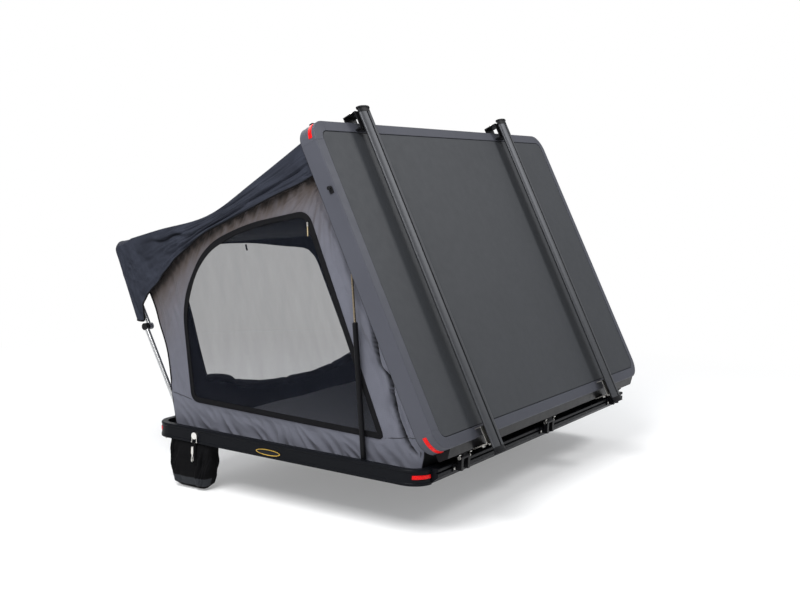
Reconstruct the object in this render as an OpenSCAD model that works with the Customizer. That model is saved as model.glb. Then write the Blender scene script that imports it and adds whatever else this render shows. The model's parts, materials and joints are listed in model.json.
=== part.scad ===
// Hard-shell roof top tent: a flat base tray, a lid hinged along one long side and held up
// by gas struts, a folding bow that carries the awning, and fabric walls with net windows.
// X runs along the hinge, Y from the hinge side to the entrance side, Z up.
// The origin is the centre of the mounting rails' underside. The lid stands open.

/* [Base tray] */
// Length of the tray along the hinge
base_w = 2080; // [1800:10:2300]
// Depth of the tray from the hinge side to the entrance side
base_d = 1390; // [1250:10:1500]
// Height of the tray's rails
base_h = 64; // [60:1:80]
// Thickness of the tray's rails
rail_t = 28; // [24:1:32]
// Outside radius of the tray's and the lid's corners
corner_r = 85; // [80:1:110]
// Thickness of the sandwich floor
floor_t = 20; // [16:1:24]
// Depth of the hinge beam in front of the tray's corners
beam_out = 27; // [24:1:28]

/* [Mounting rails] */
// Length of each mounting rail
mount_rail_l = 1700; // [1300:10:1750]
// Distance between the two mounting rails
mount_pitch_y = 840; // [600:10:1000]
// Distance between the bolt holes along a rail
mount_pitch_x = 1000; // [800:10:1100]
// Diameter of a bolt hole
mount_hole_d = 9; // [7:0.5:11]

/* [Lid] */
// Height of the lid's skirt
skirt_h = 77; // [72:1:95]
// Width of the frame that borders the lid's panel
flange_w = 46; // [42:1:60]
// Rise of that frame from the skirt to the panel
flange_rise = 5; // [2:1:8]
// Wall of the lid's frame
lid_wall = 4; // [3:0.5:5]
// Thickness of the roof panel's core
panel_t = 13; // [10:1:14]
// Thickness of the seal under the lid's lip
seal_t = 3; // [2:0.5:4]
// Opening angle of the lid in degrees
open_angle = 62.65; // [55:0.05:66]

/* [Hinges] */
// Distance of the hinge pins in front of the tray
pin_ahead = 48; // [46:1:54]
// Height of the hinge pins above the lid's lip
pin_above = 17; // [16:1:20]
// Diameter of a hinge pin
pin_d = 10; // [8:0.5:11]
// Width of a hinge leaf
leaf_w = 110; // [90:1:130]
// Distance of the outer hinges from the middle one
hinge_pitch = 790; // [650:10:800]

/* [Cargo bars] */
// Width of a cargo bar
bar_w = 80; // [60:1:90]
// Height of a cargo bar
bar_t = 30; // [26:1:34]
// Height of the bars' top above the lid's lip
bar_top = 142; // [136:1:150]
// Place of the left bar along the hinge
bar_left_x = -700; // [-760:10:-600]
// Place of the right bar along the hinge
bar_right_x = 540; // [460:10:700]
// Length of a bar past the lid on the hinge side
bar_front_over = 86; // [70:1:100]
// Length of a bar past the lid on the entrance side
bar_rear_over = 48; // [46:1:70]
// Width of a bar foot
foot_w = 90; // [80:1:110]

/* [Gas struts] */
// Distance of a strut's lower pivot from the hinge side of the tray
strut_low_y = 295; // [280:5:320]
// Height of a strut's lower pivot
strut_low_z = 45; // [44:1:48]
// Distance of a strut's upper pivot from the lid's hinge side
strut_top_l = 927; // [915:1:940]
// Height of a strut's upper pivot above the lid's lip
strut_top_h = 30; // [26:1:34]
// Diameter of a strut's cylinder
strut_tube_d = 22; // [18:1:23]
// Diameter of a strut's rod
strut_rod_d = 10; // [8:1:12]
// Length of a strut's cylinder
strut_tube_l = 560; // [540:5:570]

/* [Awning bow] */
// Distance of the bow's pivots from the entrance side of the tray
bow_in = 77; // [76:1:90]
// Height of the bow's pivots
bow_z = 78; // [76:1:82]
// Lean of the open bow in degrees
bow_angle = 61; // [56:1:66]
// Length of a lower leg from pivot to knee
bow_lower_l = 440; // [420:5:450]
// Length of an upper leg from knee to cross tube
bow_upper_l = 390; // [380:2:400]
// Diameter of the lower tubes
bow_d = 22; // [18:1:23]

/* [Bedding and fabric] */
// Thickness of the mattress
mattress_t = 57; // [45:1:59]
// Thickness of the tent's fabric, drawn heavy
cloth_t = 3; // [2:0.5:4]
// Height of the bag from its top to its bottom
bag_h = 202; // [160:1:215]
// Width of the bag along the rail
bag_w = 256; // [200:1:270]
// Thickness of the bag
bag_t = 96; // [80:1:100]

/* [Hidden] */
$fn = 48;

// Clearances
run_gap = 0.2;
fit_gap = 0.4;
slip_gap = 0.3;

// Planes of the tray and of the closed lid
half_w = base_w / 2;
half_d = base_d / 2;
lip_z = base_h + seal_t;
floor_z = 13;
floor_top = floor_z + floor_t;
ledge_w = 18;
ledge_t = 5;
pin_y = -half_d - pin_ahead;
pin_z = lip_z + pin_above;
hinge_x = [-hinge_pitch, 0, hinge_pitch];
bow_y = half_d - bow_in;

// Lanes along X, from the rail inwards
strut_x = half_w - 50;
wall_x = half_w - 70;
bow_x = half_w - 92;
knuckle_w = 22;
bow_upper_x = bow_x - knuckle_w - fit_gap;
mattress_w = 2 * (half_w - 135);

// Colours as photographed
shell_grey = [0.30, 0.31, 0.34];
panel_grey = [0.25, 0.27, 0.28];
rail_black = [0.11, 0.11, 0.12];
bar_grey = [0.38, 0.37, 0.35];
steel = [0.80, 0.78, 0.74];
reflector_red = [0.85, 0.08, 0.06];
cloth_grey = [0.42, 0.42, 0.44];
fly_navy = [0.19, 0.21, 0.25];
net_black = [0.12, 0.13, 0.15];

// Turns a piece that is drawn with the lid closed to where it stands with the lid open
module lid_place() {
    translate([0, pin_y, pin_z])
        rotate([open_angle, 0, 0])
            translate([0, -pin_y, -pin_z])
                children();
}

// Where a point of the closed lid, measured from its hinge side and from its lip, goes when open
function lid_point(l, h) =
    let (dy = l + pin_ahead, dz = h - pin_above)
    [pin_y + dy * cos(open_angle) - dz * sin(open_angle),
     pin_z + dy * sin(open_angle) + dz * cos(open_angle)];

module both_sides() {
    children();
    mirror([1, 0, 0]) children();
}

// A round-cornered rectangle about the origin
module round_rect(w, d, r) {
    square([w - 2 * r, d], center = true);
    square([w, d - 2 * r], center = true);
    for (x = [-1, 1], y = [-1, 1])
        translate([x * (w / 2 - r), y * (d / 2 - r)]) circle(r);
}

// A profile, drawn inwards from the outer face, run along the left edge
module run_left(profile, z) {
    translate([-half_w, half_d - corner_r, z])
        rotate([90, 0, 0])
            linear_extrude(base_d - 2 * corner_r) polygon(profile);
}

// The same profile run along the hinge side
module run_front(profile, z) {
    translate([-half_w + corner_r, -half_d, z])
        rotate([90, 0, 90])
            linear_extrude(base_w - 2 * corner_r) polygon(profile);
}

// The same profile turned round the four corners
module run_corners(profile, z) {
    for (x = [0, 1], y = [0, 1])
        mirror([x, 0, 0]) mirror([0, y, 0])
            translate([-half_w + corner_r, -half_d + corner_r, z])
                rotate([0, 0, 180])
                    rotate_extrude(angle = 90)
                        polygon([for (p = profile) [corner_r - p[0], p[1]]]);
}

// A curved strip on the outside of the two corners of one long side
module corner_strips(from, to, low, high, y_side, sunk = 0) {
    stand = 2 - sunk;
    for (x = [0, 1])
        mirror([x, 0, 0]) mirror([0, y_side, 0])
            translate([-half_w + corner_r, -half_d + corner_r, 0])
                rotate([0, 0, 180 + from])
                    rotate_extrude(angle = to - from)
                        polygon([[corner_r - sunk, low], [corner_r + stand, low + 1.5],
                                 [corner_r + stand, high - 1.5], [corner_r - sunk, high]]);
}

// Base tray

// Outer wall with a shallow panel, a bead along the top and a ledge for the floor
rail_panel = 2;
base_profile = [
    [0, 0], [rail_t, 0], [rail_t, floor_z - ledge_t], [rail_t + ledge_w, floor_z - ledge_t],
    [rail_t + ledge_w, floor_z], [rail_t, floor_z], [rail_t, base_h], [4, base_h], [0, base_h - 4],
    [0, base_h - 10], [rail_panel, base_h - 12], [rail_panel, 12], [0, 10]
];

// Hinge beam: it stands out past the corners, with a slot for sliding nuts and an undercut below
slot_low = 44;
slot_w = 8;
slot_depth = 9;
beam_low = 29;
front_profile = [
    [-beam_out, beam_low], [2, 4], [6, 0], [rail_t, 0], [rail_t, floor_z - ledge_t],
    [rail_t + ledge_w, floor_z - ledge_t], [rail_t + ledge_w, floor_z], [rail_t, floor_z],
    [rail_t, base_h], [-beam_out + 2, base_h], [-beam_out, base_h - 2],
    [-beam_out, slot_low + slot_w], [-beam_out + slot_depth, slot_low + slot_w],
    [-beam_out + slot_depth, slot_low], [-beam_out, slot_low]
];

module base_rail_left() { color(rail_black) run_left(base_profile, 0); }
module base_rail_right() { color(rail_black) mirror([1, 0, 0]) run_left(base_profile, 0); }
module base_rail_front() { color(rail_black) run_front(front_profile, 0); }
module base_rail_rear() { color(rail_black) mirror([0, 1, 0]) run_front(base_profile, 0); }
module base_corners() { color(rail_black) run_corners(base_profile, 0); }

module base_reflectors() {
    color(reflector_red) {
        corner_strips(28, 84, 26, 42, 0, rail_panel);
        corner_strips(30, 72, 26, 42, 1, rail_panel);
    }
}

bolt_room_d = 26;
bolt_room_h = 14;

// Sandwich floor on the rails' ledges, with room above each bolt of the mounting rails
module base_floor() {
    inset = rail_t + slip_gap;
    color(panel_grey)
        difference() {
            translate([0, 0, floor_z])
                linear_extrude(floor_t)
                    round_rect(base_w - 2 * inset, base_d - 2 * inset, corner_r - inset);
            for (x = [-1, 1], y = [-1, 1])
                translate([x * mount_pitch_x / 2, y * mount_pitch_y / 2, floor_z - 1])
                    cylinder(d = bolt_room_d, h = bolt_room_h + 1);
        }
}

mount_rail_w = 60;
mount_rail_t = 3;

// Two channels under the floor with the bolt holes for roof bars
module mount_rails() {
    color(steel)
        for (y = [-1, 1])
            difference() {
                translate([-mount_rail_l / 2, y * mount_pitch_y / 2, 0])
                    rotate([90, 0, 90])
                        linear_extrude(mount_rail_l)
                            difference() {
                                translate([-mount_rail_w / 2, 0]) square([mount_rail_w, floor_z]);
                                translate([-mount_rail_w / 2 + mount_rail_t, mount_rail_t])
                                    square([mount_rail_w - 2 * mount_rail_t, floor_z]);
                            }
                for (x = [-1, 1])
                    translate([x * mount_pitch_x / 2, y * mount_pitch_y / 2, -1])
                        cylinder(d = mount_hole_d, h = mount_rail_t + 2);
            }
}

// Mattress: a closed cushion with a crowned top and sides that draw in between the corners

mattress_front = -half_d + 62;
mattress_rear = bow_y - 119;
mattress_z = floor_top + slip_gap;
mattress_r = 70;
cushion_sides = 56;
cushion_waist = 10;
cushion_crown = 9;
cushion_rings = [
    // inset of the ring, height as a share of the side, share of the waist
    [14, 0, 0.2], [3, 0.14, 0.6], [0, 0.45, 1], [2, 0.76, 0.8], [10, 0.94, 0.4], [26, 1, 0.1]
];
crown_rings = [0.82, 0.6, 0.36, 0.14];

// A point on a round-cornered rectangle at a turn in degrees, pulled in between its corners
function cushion_point(turn, w, d, r, waist) =
    let (c = cos(turn), s = sin(turn),
         power = 0.16,
         x = sign(c) * pow(abs(c), power) * w / 2,
         y = sign(s) * pow(abs(s), power) * d / 2,
         pull = waist * (1 - pow(min(abs(x) / (w / 2), abs(y) / (d / 2)), 2)))
    [x - sign(x) * (abs(y) / (d / 2) < abs(x) / (w / 2) ? pull : 0),
     y - sign(y) * (abs(y) / (d / 2) < abs(x) / (w / 2) ? 0 : pull)];

function cushion_ring(inset, z, waist, w, d) =
    [for (i = [0 : cushion_sides - 1])
        let (p = cushion_point((i + 0.5) * 360 / cushion_sides, w - 2 * inset, d - 2 * inset,
                               mattress_r, waist))
        [p[0], p[1], z]];

// Skin of a stack of rings with the same count of points, closed by fans at both ends
module ring_stack(rings) {
    n = len(rings[0]);
    m = len(rings);
    points = concat([for (r = rings) each r], [centre_of(rings[0]), centre_of(rings[m - 1])]);
    sides = [for (k = [0 : m - 2], i = [0 : n - 1])
        let (a = k * n + i, b = k * n + (i + 1) % n)
        each [[a, b + n, b], [a, a + n, b + n]]];
    bottom = [for (i = [0 : n - 1]) [m * n, i, (i + 1) % n]];
    top = [for (i = [0 : n - 1]) [m * n + 1, (m - 1) * n + (i + 1) % n, (m - 1) * n + i]];
    polyhedron(points = points, faces = concat(sides, bottom, top), convexity = 6);
}

function centre_of(ring) =
    [for (k = [0 : 2]) [for (p = ring) p[k]] * [for (p = ring) 1] / len(ring)];

module mattress() {
    d = mattress_rear - mattress_front;
    side_h = mattress_t - cushion_crown;
    side_rings = [for (r = cushion_rings)
        cushion_ring(r[0], r[1] * side_h, r[2] * cushion_waist, mattress_w, d)];
    top_inset = cushion_rings[len(cushion_rings) - 1][0];
    top_rings = [for (s = crown_rings)
        [for (p = cushion_ring(top_inset, 0, 0, mattress_w, d))
            [p[0] * s, p[1] * s, side_h + cushion_crown * (1 - s * s)]]];
    color(cloth_grey)
        translate([0, (mattress_front + mattress_rear) / 2, mattress_z])
            ring_stack(concat(side_rings, top_rings));
}

// Hinges

leaf_t = 4;
leaf_screw_x = 44;
leaf_screw_d = 11;
leaf_screw_h = 4;
knuckle_r = pin_d / 2 + 4;
lid_knuckle_w = 36;
base_knuckle_w = 16;
base_leaf_low = beam_low + 2;
base_leaf_high = base_h - 3;
rail_face_y = -half_d - beam_out;
hinge_rail_out = pin_ahead - 15;
hinge_rail_low = 2;
hinge_rail_h = 44;
hinge_rail_top = skirt_h - 3;

// Angle leaves on the tray's rail, each with two arms that reach the pin
module hinge_base_leaves() {
    arm_low = base_leaf_low + 2;
    color(rail_black)
        for (x = hinge_x)
            translate([x, 0, 0])
                difference() {
                    union() {
                        translate([-leaf_w / 2, rail_face_y - leaf_t, base_leaf_low])
                            cube([leaf_w, leaf_t, base_leaf_high - base_leaf_low]);
                        for (side = [-1, 1])
                            translate([side * (lid_knuckle_w + base_knuckle_w + 2 * fit_gap) / 2, 0, 0])
                                base_hinge_arm(arm_low);
                    }
                    translate([-leaf_w / 2, pin_y, pin_z])
                        rotate([0, 90, 0]) cylinder(d = pin_d + 2 * run_gap, h = leaf_w);
                }
}

module base_hinge_arm(arm_low) {
    rotate([90, 0, 90])
        translate([0, 0, -base_knuckle_w / 2])
            linear_extrude(base_knuckle_w) {
                translate([pin_y, pin_z]) circle(knuckle_r);
                translate([pin_y - knuckle_r, arm_low])
                    square([2 * knuckle_r, pin_z - arm_low]);
                translate([pin_y - knuckle_r, arm_low])
                    square([rail_face_y - leaf_t / 2 - pin_y + knuckle_r, base_leaf_high - arm_low - 2]);
            }
}

// Leaves on the lid's hinge rail, each with one knuckle between the arms
module hinge_lid_leaves() {
    face_y = -half_d - hinge_rail_out;
    low = lip_z + hinge_rail_low + 2;
    high = lip_z + hinge_rail_low + hinge_rail_h - 10;
    color(rail_black)
        lid_place()
            for (x = hinge_x)
                translate([x, 0, 0])
                    difference() {
                        union() {
                            translate([-leaf_w / 2, face_y - leaf_t, low])
                                cube([leaf_w, leaf_t, high - low]);
                            rotate([90, 0, 90])
                                translate([0, 0, -lid_knuckle_w / 2])
                                    linear_extrude(lid_knuckle_w) {
                                        translate([pin_y, pin_z]) circle(knuckle_r);
                                        translate([pin_y, pin_z - knuckle_r])
                                            square([face_y - leaf_t / 2 - pin_y, 2 * knuckle_r]);
                                    }
                        }
                        translate([-leaf_w / 2, pin_y, pin_z])
                            rotate([0, 90, 0]) cylinder(d = pin_d + 2 * run_gap, h = leaf_w);
                    }
}

module hinge_pins() {
    pin_l = lid_knuckle_w + 2 * base_knuckle_w + 8;
    head = 3;
    color(steel)
        for (x = hinge_x)
            translate([x - pin_l / 2, pin_y, pin_z])
                rotate([0, 90, 0]) {
                    cylinder(d = pin_d, h = pin_l);
                    translate([0, 0, -head]) cylinder(d = pin_d + 5, h = head);
                    translate([0, 0, pin_l]) cylinder(d = pin_d + 5, h = head);
                }
}

// A round-headed screw that stands on a face looking along -Y
module face_screw() {
    rotate([90, 0, 0])
        difference() {
            union() {
                cylinder(d = leaf_screw_d, h = leaf_screw_h - 1.5);
                translate([0, 0, leaf_screw_h - 1.5])
                    cylinder(d1 = leaf_screw_d, d2 = leaf_screw_d - 4, h = 1.5);
            }
            translate([0, 0, leaf_screw_h - 2]) cylinder(d = 4.6, h = 3, $fn = 6);
        }
}

module hinge_base_screws() {
    color(steel)
        for (x = hinge_x, side = [-1, 1])
            translate([x + side * (leaf_w / 2 - 10), rail_face_y - leaf_t, base_leaf_low + 12])
                face_screw();
}

module hinge_lid_screws() {
    color(steel)
        lid_place()
            for (x = hinge_x, side = [-1, 1])
                translate([x + side * leaf_screw_x, -half_d - hinge_rail_out - leaf_t,
                           lip_z + hinge_rail_low + 26])
                    face_screw();
}

// Lid

flange_low = skirt_h - lid_wall;
flange_high = skirt_h + flange_rise;
lip_w = 14;
lid_profile = [
    [0, 0], [lip_w, 0], [lip_w, lid_wall], [lid_wall, lid_wall], [lid_wall, flange_low],
    [flange_w, flange_low], [flange_w, flange_high - 1], [flange_w - 1, flange_high],
    [3, skirt_h + 0.4], [0, skirt_h - 3]
];

module lid_rail_left() { color(shell_grey) lid_place() run_left(lid_profile, lip_z); }
module lid_rail_right() { color(shell_grey) lid_place() mirror([1, 0, 0]) run_left(lid_profile, lip_z); }
module lid_rail_front() { color(shell_grey) lid_place() run_front(lid_profile, lip_z); }
module lid_rail_rear() { color(shell_grey) lid_place() mirror([0, 1, 0]) run_front(lid_profile, lip_z); }
module lid_corners() { color(shell_grey) lid_place() run_corners(lid_profile, lip_z); }

panel_tuck = 20;
panel_groove = 3;
panel_step = flange_high - 2 - flange_low;

// Core plate under the frame with a raised field that fills the frame's opening
module lid_panel() {
    color(panel_grey)
        lid_place() {
            translate([0, 0, lip_z + flange_low - panel_t])
                linear_extrude(panel_t)
                    round_rect(base_w - 2 * panel_tuck, base_d - 2 * panel_tuck, corner_r - panel_tuck);
            inset = flange_w + panel_groove;
            translate([0, 0, lip_z + flange_low])
                linear_extrude(panel_step)
                    round_rect(base_w - 2 * inset, base_d - 2 * inset, corner_r - inset);
        }
}

lining_t = 3;

module lid_lining() {
    inset = panel_tuck + 12;
    color(cloth_grey)
        lid_place()
            translate([0, 0, lip_z + flange_low - panel_t - lining_t])
                linear_extrude(lining_t)
                    round_rect(base_w - 2 * inset, base_d - 2 * inset, corner_r - inset);
}

// Rubber strips under the lip, short of the tray's rail by a hair, laid side by side and round the corners
seal_profile = [[2, fit_gap], [lip_w - 1, fit_gap], [lip_w - 1, seal_t], [2, seal_t]];

module seal_side(length) {
    translate([2, -length / 2 + slip_gap, fit_gap])
        cube([lip_w - 3, length - 2 * slip_gap, seal_t - fit_gap]);
}

module lid_seal() {
    color(rail_black)
        lid_place()
            translate([0, 0, base_h]) {
                for (x = [0, 1])
                    mirror([x, 0, 0])
                        translate([-half_w, 0, 0]) seal_side(base_d - 2 * corner_r);
                for (y = [0, 1])
                    mirror([0, y, 0])
                        translate([0, -half_d, 0]) rotate([0, 0, 90])
                            seal_side(base_w - 2 * corner_r);
                run_corners(seal_profile, 0);
            }
}

// Extrusion on the front of the lid that carries the hinge leaves and the bars' feet
hinge_rail_profile = [
    [0, hinge_rail_low], [-hinge_rail_out + 4, hinge_rail_low], [-hinge_rail_out, hinge_rail_low + 4],
    [-hinge_rail_out, hinge_rail_low + hinge_rail_h], [0, hinge_rail_top]
];

module lid_hinge_rail() { color(rail_black) lid_place() run_front(hinge_rail_profile, lip_z); }

module lid_reflectors() {
    color(reflector_red)
        lid_place() {
            corner_strips(8, 88, lip_z + 28, lip_z + 46, 0);
            corner_strips(10, 62, lip_z + 44, lip_z + 62, 1);
        }
}

// A bolted eye on each side of the lid
side_hook_l = 1104;
side_hook_h = 56;

module lid_side_hooks() {
    color(rail_black)
        lid_place()
            both_sides()
                translate([-half_w, -half_d + side_hook_l, lip_z + side_hook_h])
                    rotate([0, -90, 0]) {
                        cylinder(r = 9, h = 3);
                        translate([0, 0, 3]) cylinder(r = 5, h = 9);
                        translate([0, 0, 12]) cylinder(r = 8, h = 3);
                        translate([-9, -22, 0]) cube([18, 22, 3]);
                    }
}

// Cargo bars

bar_z = lip_z + bar_top - bar_t / 2;
bar_slot_w = 11;
bar_slot_under = 20;
bar_slot_lip = 5;
bar_slot_depth = 13;
cap_l = 26;
bar_turns = 40;

function oval(w, t) = [for (i = [0 : bar_turns - 1])
    let (a = i * 360 / bar_turns) [w / 2 * cos(a), t / 2 * sin(a)]];

// Wing-shaped section with a slot along the top
module bar(x) {
    color(bar_grey)
        lid_place()
            translate([x, half_d + bar_rear_over - cap_l, bar_z])
                rotate([90, 0, 0])
                    linear_extrude(base_d + bar_front_over + bar_rear_over - 2 * cap_l)
                        difference() {
                            polygon(oval(bar_w, bar_t));
                            translate([-bar_slot_w / 2, bar_t / 2 - bar_slot_depth])
                                square([bar_slot_w, bar_slot_depth]);
                            translate([-bar_slot_under / 2, bar_t / 2 - bar_slot_depth])
                                square([bar_slot_under, bar_slot_depth - bar_slot_lip]);
                        }
}

module bar_left() { bar(bar_left_x); }
module bar_right() { bar(bar_right_x); }

// Flared plugs on the ends of both bars
module bar_end_caps() {
    rim = 6;
    color(rail_black)
        lid_place()
            for (x = [bar_left_x, bar_right_x])
                translate([x, 0, bar_z])
                    rotate([90, 0, 0]) {
                        for (end = [-half_d - bar_rear_over, half_d + bar_front_over - cap_l])
                            translate([0, 0, end])
                                linear_extrude(cap_l) polygon(oval(bar_w, bar_t));
                        for (end = [-half_d - bar_rear_over, half_d + bar_front_over - rim])
                            translate([0, 0, end])
                                linear_extrude(rim) polygon(oval(bar_w + 8, bar_t + 7));
                    }
}

foot_t = 4;
foot_reach = 36;
foot_low = hinge_rail_low + hinge_rail_h;
foot_high = bar_top - bar_t;
foot_heel = 38;

// Folded stainless foot on the entrance side: a tab on the skirt, a wall, a seat and a heel on the frame
rear_foot_profile = [
    [0, foot_low], [0, foot_low + foot_t], [-foot_reach + foot_t, foot_low + foot_t],
    [-foot_reach + foot_t, foot_high - foot_t], [foot_heel - foot_t, foot_high - foot_t],
    [foot_heel - foot_t, flange_high], [foot_heel, flange_high], [foot_heel, foot_high],
    [-foot_reach, foot_high], [-foot_reach, foot_low]
];

// On the hinge side the wall stands against the hinge rail, above its leaves
front_foot_low = foot_low - 6;
front_foot_profile = [
    [-hinge_rail_out, front_foot_low], [-hinge_rail_out, foot_high - foot_t],
    [foot_heel - foot_t, foot_high - foot_t], [foot_heel - foot_t, flange_high], [foot_heel, flange_high],
    [foot_heel, foot_high], [-hinge_rail_out - foot_t, foot_high], [-hinge_rail_out - foot_t, front_foot_low]
];

module bar_foot(profile) {
    translate([-foot_w / 2, -half_d, lip_z])
        rotate([90, 0, 90])
            linear_extrude(foot_w) polygon(profile);
}

module bar_feet() {
    color(steel)
        lid_place()
            for (x = [bar_left_x, bar_right_x])
                translate([x, 0, 0]) {
                    bar_foot(front_foot_profile);
                    mirror([0, 1, 0]) bar_foot(rear_foot_profile);
                }
}

module bar_foot_bolts() {
    head = 6;
    color(steel)
        lid_place()
            for (x = [bar_left_x, bar_right_x], side = [-1, 1], end = [0, 1])
                mirror([0, end, 0])
                    translate([x + side * foot_w / 3.4,
                               -half_d - (end == 0 ? hinge_rail_out + foot_t : foot_reach),
                               lip_z + (foot_low + foot_high) / 2])
                        rotate([90, 0, 0]) {
                            cylinder(r = 10, h = 1.6);
                            translate([0, 0, 1.6]) cylinder(r = 8, h = head, $fn = 6);
                        }
}

// Latches on the entrance side

latch_x = half_w - 110;
latch_plate_t = 4;
latch_plate_w = 60;
latch_pin_y = half_d + 12;
latch_pin_z = 42;
latch_pin_r = 2.5;
ear_x = 26;
ear_t = 3;
lever_w = 30;
lever_l = 38;
lever_t = 4;
bail_pin_z = 31;
bail_pin_r = 2;
bail_arm_x = 20;
bail_wire = 4;
bail_l = 64;

module latch_plates() {
    color(steel)
        both_sides()
            translate([latch_x, 0, 0]) {
                translate([-latch_plate_w / 2, half_d, 10])
                    cube([latch_plate_w, latch_plate_t, base_h - 14]);
                for (side = [-1, 1])
                    translate([side * ear_x - ear_t / 2, half_d, latch_pin_z - 8])
                        cube([ear_t, latch_pin_y - half_d + 5, 14]);
                translate([-ear_x, latch_pin_y, latch_pin_z])
                    rotate([0, 90, 0]) cylinder(r = latch_pin_r, h = 2 * ear_x);
            }
}

// Handle that hangs from its pin with a turned-out tip, and a cross pin for the bail
module latch_lever(x) {
    color(rail_black)
        translate([x, latch_pin_y, 0])
            difference() {
                union() {
                    translate([-lever_w / 2, 0, latch_pin_z])
                        rotate([0, 90, 0]) cylinder(r = latch_pin_r + 3, h = lever_w);
                    translate([-lever_w / 2, 0, latch_pin_z - lever_l])
                        cube([lever_w, lever_t, lever_l]);
                    translate([-lever_w / 2, 0, latch_pin_z - lever_l])
                        rotate([-35, 0, 0]) cube([lever_w, lever_t + 6, lever_t]);
                    translate([-bail_arm_x - 2.6, 0, bail_pin_z])
                        rotate([0, 90, 0]) cylinder(r = bail_pin_r, h = 2 * bail_arm_x + 5.2);
                }
                translate([-lever_w, 0, latch_pin_z])
                    rotate([0, 90, 0]) cylinder(r = latch_pin_r + run_gap, h = 2 * lever_w);
            }
}

module latch_lever_left() { latch_lever(-latch_x); }
module latch_lever_right() { latch_lever(latch_x); }

// Wire loop that straddles the lever
module latch_bail(x) {
    color(steel)
        translate([x, latch_pin_y, bail_pin_z]) {
            for (side = [-1, 1])
                translate([side * bail_arm_x, 0, 0]) {
                    rotate([0, 90, 0])
                        difference() {
                            cylinder(r = bail_pin_r + 2.5, h = bail_wire, center = true);
                            cylinder(r = bail_pin_r + run_gap, h = 2 * bail_wire, center = true);
                        }
                    translate([0, 0, -bail_l]) cylinder(d = bail_wire, h = bail_l - bail_pin_r - 1);
                }
            translate([-bail_arm_x, 0, -bail_l])
                rotate([0, 90, 0]) cylinder(d = bail_wire, h = 2 * bail_arm_x);
            for (side = [-1, 1])
                translate([side * bail_arm_x, 0, -bail_l]) sphere(d = bail_wire);
        }
}

module latch_bail_left() { latch_bail(-latch_x); }
module latch_bail_right() { latch_bail(latch_x); }

// Hooks on the lid's skirt that the bails draw down
keeper_profile = [[0, 10], [16, 10], [16, 26], [12, 26], [12, 15], [4, 15], [4, 40], [0, 40]];

module latch_keepers() {
    keeper_w = 34;
    color(rail_black)
        lid_place()
            both_sides()
                translate([latch_x - keeper_w / 2, half_d, lip_z])
                    rotate([90, 0, 90]) linear_extrude(keeper_w) polygon(keeper_profile);
}

// Gas struts

strut_low = [-half_d + strut_low_y, strut_low_z];
strut_top = lid_point(strut_top_l, strut_top_h);
strut_span = strut_top - strut_low;
strut_l = norm(strut_span);
strut_turn = atan2(strut_span[1], strut_span[0]) - 90;
strut_pin_d = 8;
strut_eye_r = 10;
strut_eye_w = 14;
strut_rod_l = 585;
strut_socket_r = 10;

module strut_place(x) {
    translate([x, strut_low[0], strut_low[1]]) rotate([strut_turn, 0, 0]) children();
}

// Pins on the inside of the tray's rails
module strut_brackets() {
    rail_in = half_w - rail_t;
    color(steel)
        both_sides()
            translate([-rail_in, strut_low[0], strut_low[1]])
                rotate([0, 90, 0]) {
                    cylinder(r = strut_low_z - floor_top - fit_gap, h = 4);
                    cylinder(d = strut_pin_d, h = rail_in - strut_x + strut_eye_w / 2 + 4);
                }
}

module strut_tube(x) {
    neck = 14;
    bottom = 40;
    color(rail_black)
        strut_place(x)
            difference() {
                union() {
                    rotate([0, 90, 0]) cylinder(r = strut_eye_r, h = strut_eye_w, center = true);
                    cylinder(d = strut_eye_w, h = neck + 10);
                    translate([0, 0, neck]) cylinder(d = strut_tube_d, h = strut_tube_l - neck - 4);
                    translate([0, 0, strut_tube_l - 4])
                        cylinder(d1 = strut_tube_d, d2 = strut_tube_d - 6, h = 4);
                }
                rotate([0, 90, 0])
                    cylinder(d = strut_pin_d + 2 * run_gap, h = 2 * strut_eye_w, center = true);
                translate([0, 0, bottom])
                    cylinder(d = strut_rod_d + 2 * fit_gap, h = strut_tube_l);
            }
}

module strut_tube_left() { strut_tube(-strut_x); }
module strut_tube_right() { strut_tube(strut_x); }

module strut_rod(x) {
    color(steel)
        strut_place(x) {
            translate([0, 0, strut_l - strut_rod_l])
                cylinder(d = strut_rod_d, h = strut_rod_l - strut_socket_r / 2);
            translate([0, 0, strut_l]) sphere(r = strut_socket_r);
            translate([0, 0, strut_l - 28]) cylinder(d = strut_rod_d + 4, h = 20);
        }
}

module strut_rod_left() { strut_rod(-strut_x); }
module strut_rod_right() { strut_rod(strut_x); }

// Ball studs on the inside of the lid's skirt, which stop just short of the rods' sockets
module strut_studs() {
    stud_l = half_w - lid_wall - strut_x - strut_socket_r - slip_gap;
    color(steel)
        lid_place()
            both_sides()
                translate([-half_w + lid_wall, -half_d + strut_top_l, lip_z + strut_top_h]) {
                    rotate([0, 90, 0]) cylinder(d = strut_pin_d, h = stud_l);
                    rotate([0, 90, 0]) cylinder(r = 9, h = 6);
                    translate([0, -34, -16]) cube([3, 68, 32]);
                }
}

// Awning bow

bow_pin_d = 8;
bow_eye_r = 13;
knee_r = 16;

// Frame with +Z along the open leg
module bow_place() {
    translate([0, bow_y, bow_z]) rotate([bow_angle - 90, 0, 0]) children();
}

// Angle brackets on the floor with the bow's pivot pins
module bow_brackets() {
    plate = 4;
    reach = 40;
    out_x = bow_x + knuckle_w / 2 + 1;
    color(rail_black)
        both_sides() {
            translate([out_x, bow_y - reach / 2, floor_top]) cube([plate, reach, bow_z + 14 - floor_top]);
            translate([out_x - reach, bow_y - reach / 2, floor_top]) cube([reach, reach, plate]);
            translate([out_x - knuckle_w - 4, bow_y, bow_z])
                rotate([0, 90, 0]) cylinder(d = bow_pin_d, h = knuckle_w + 6);
        }
}

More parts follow.
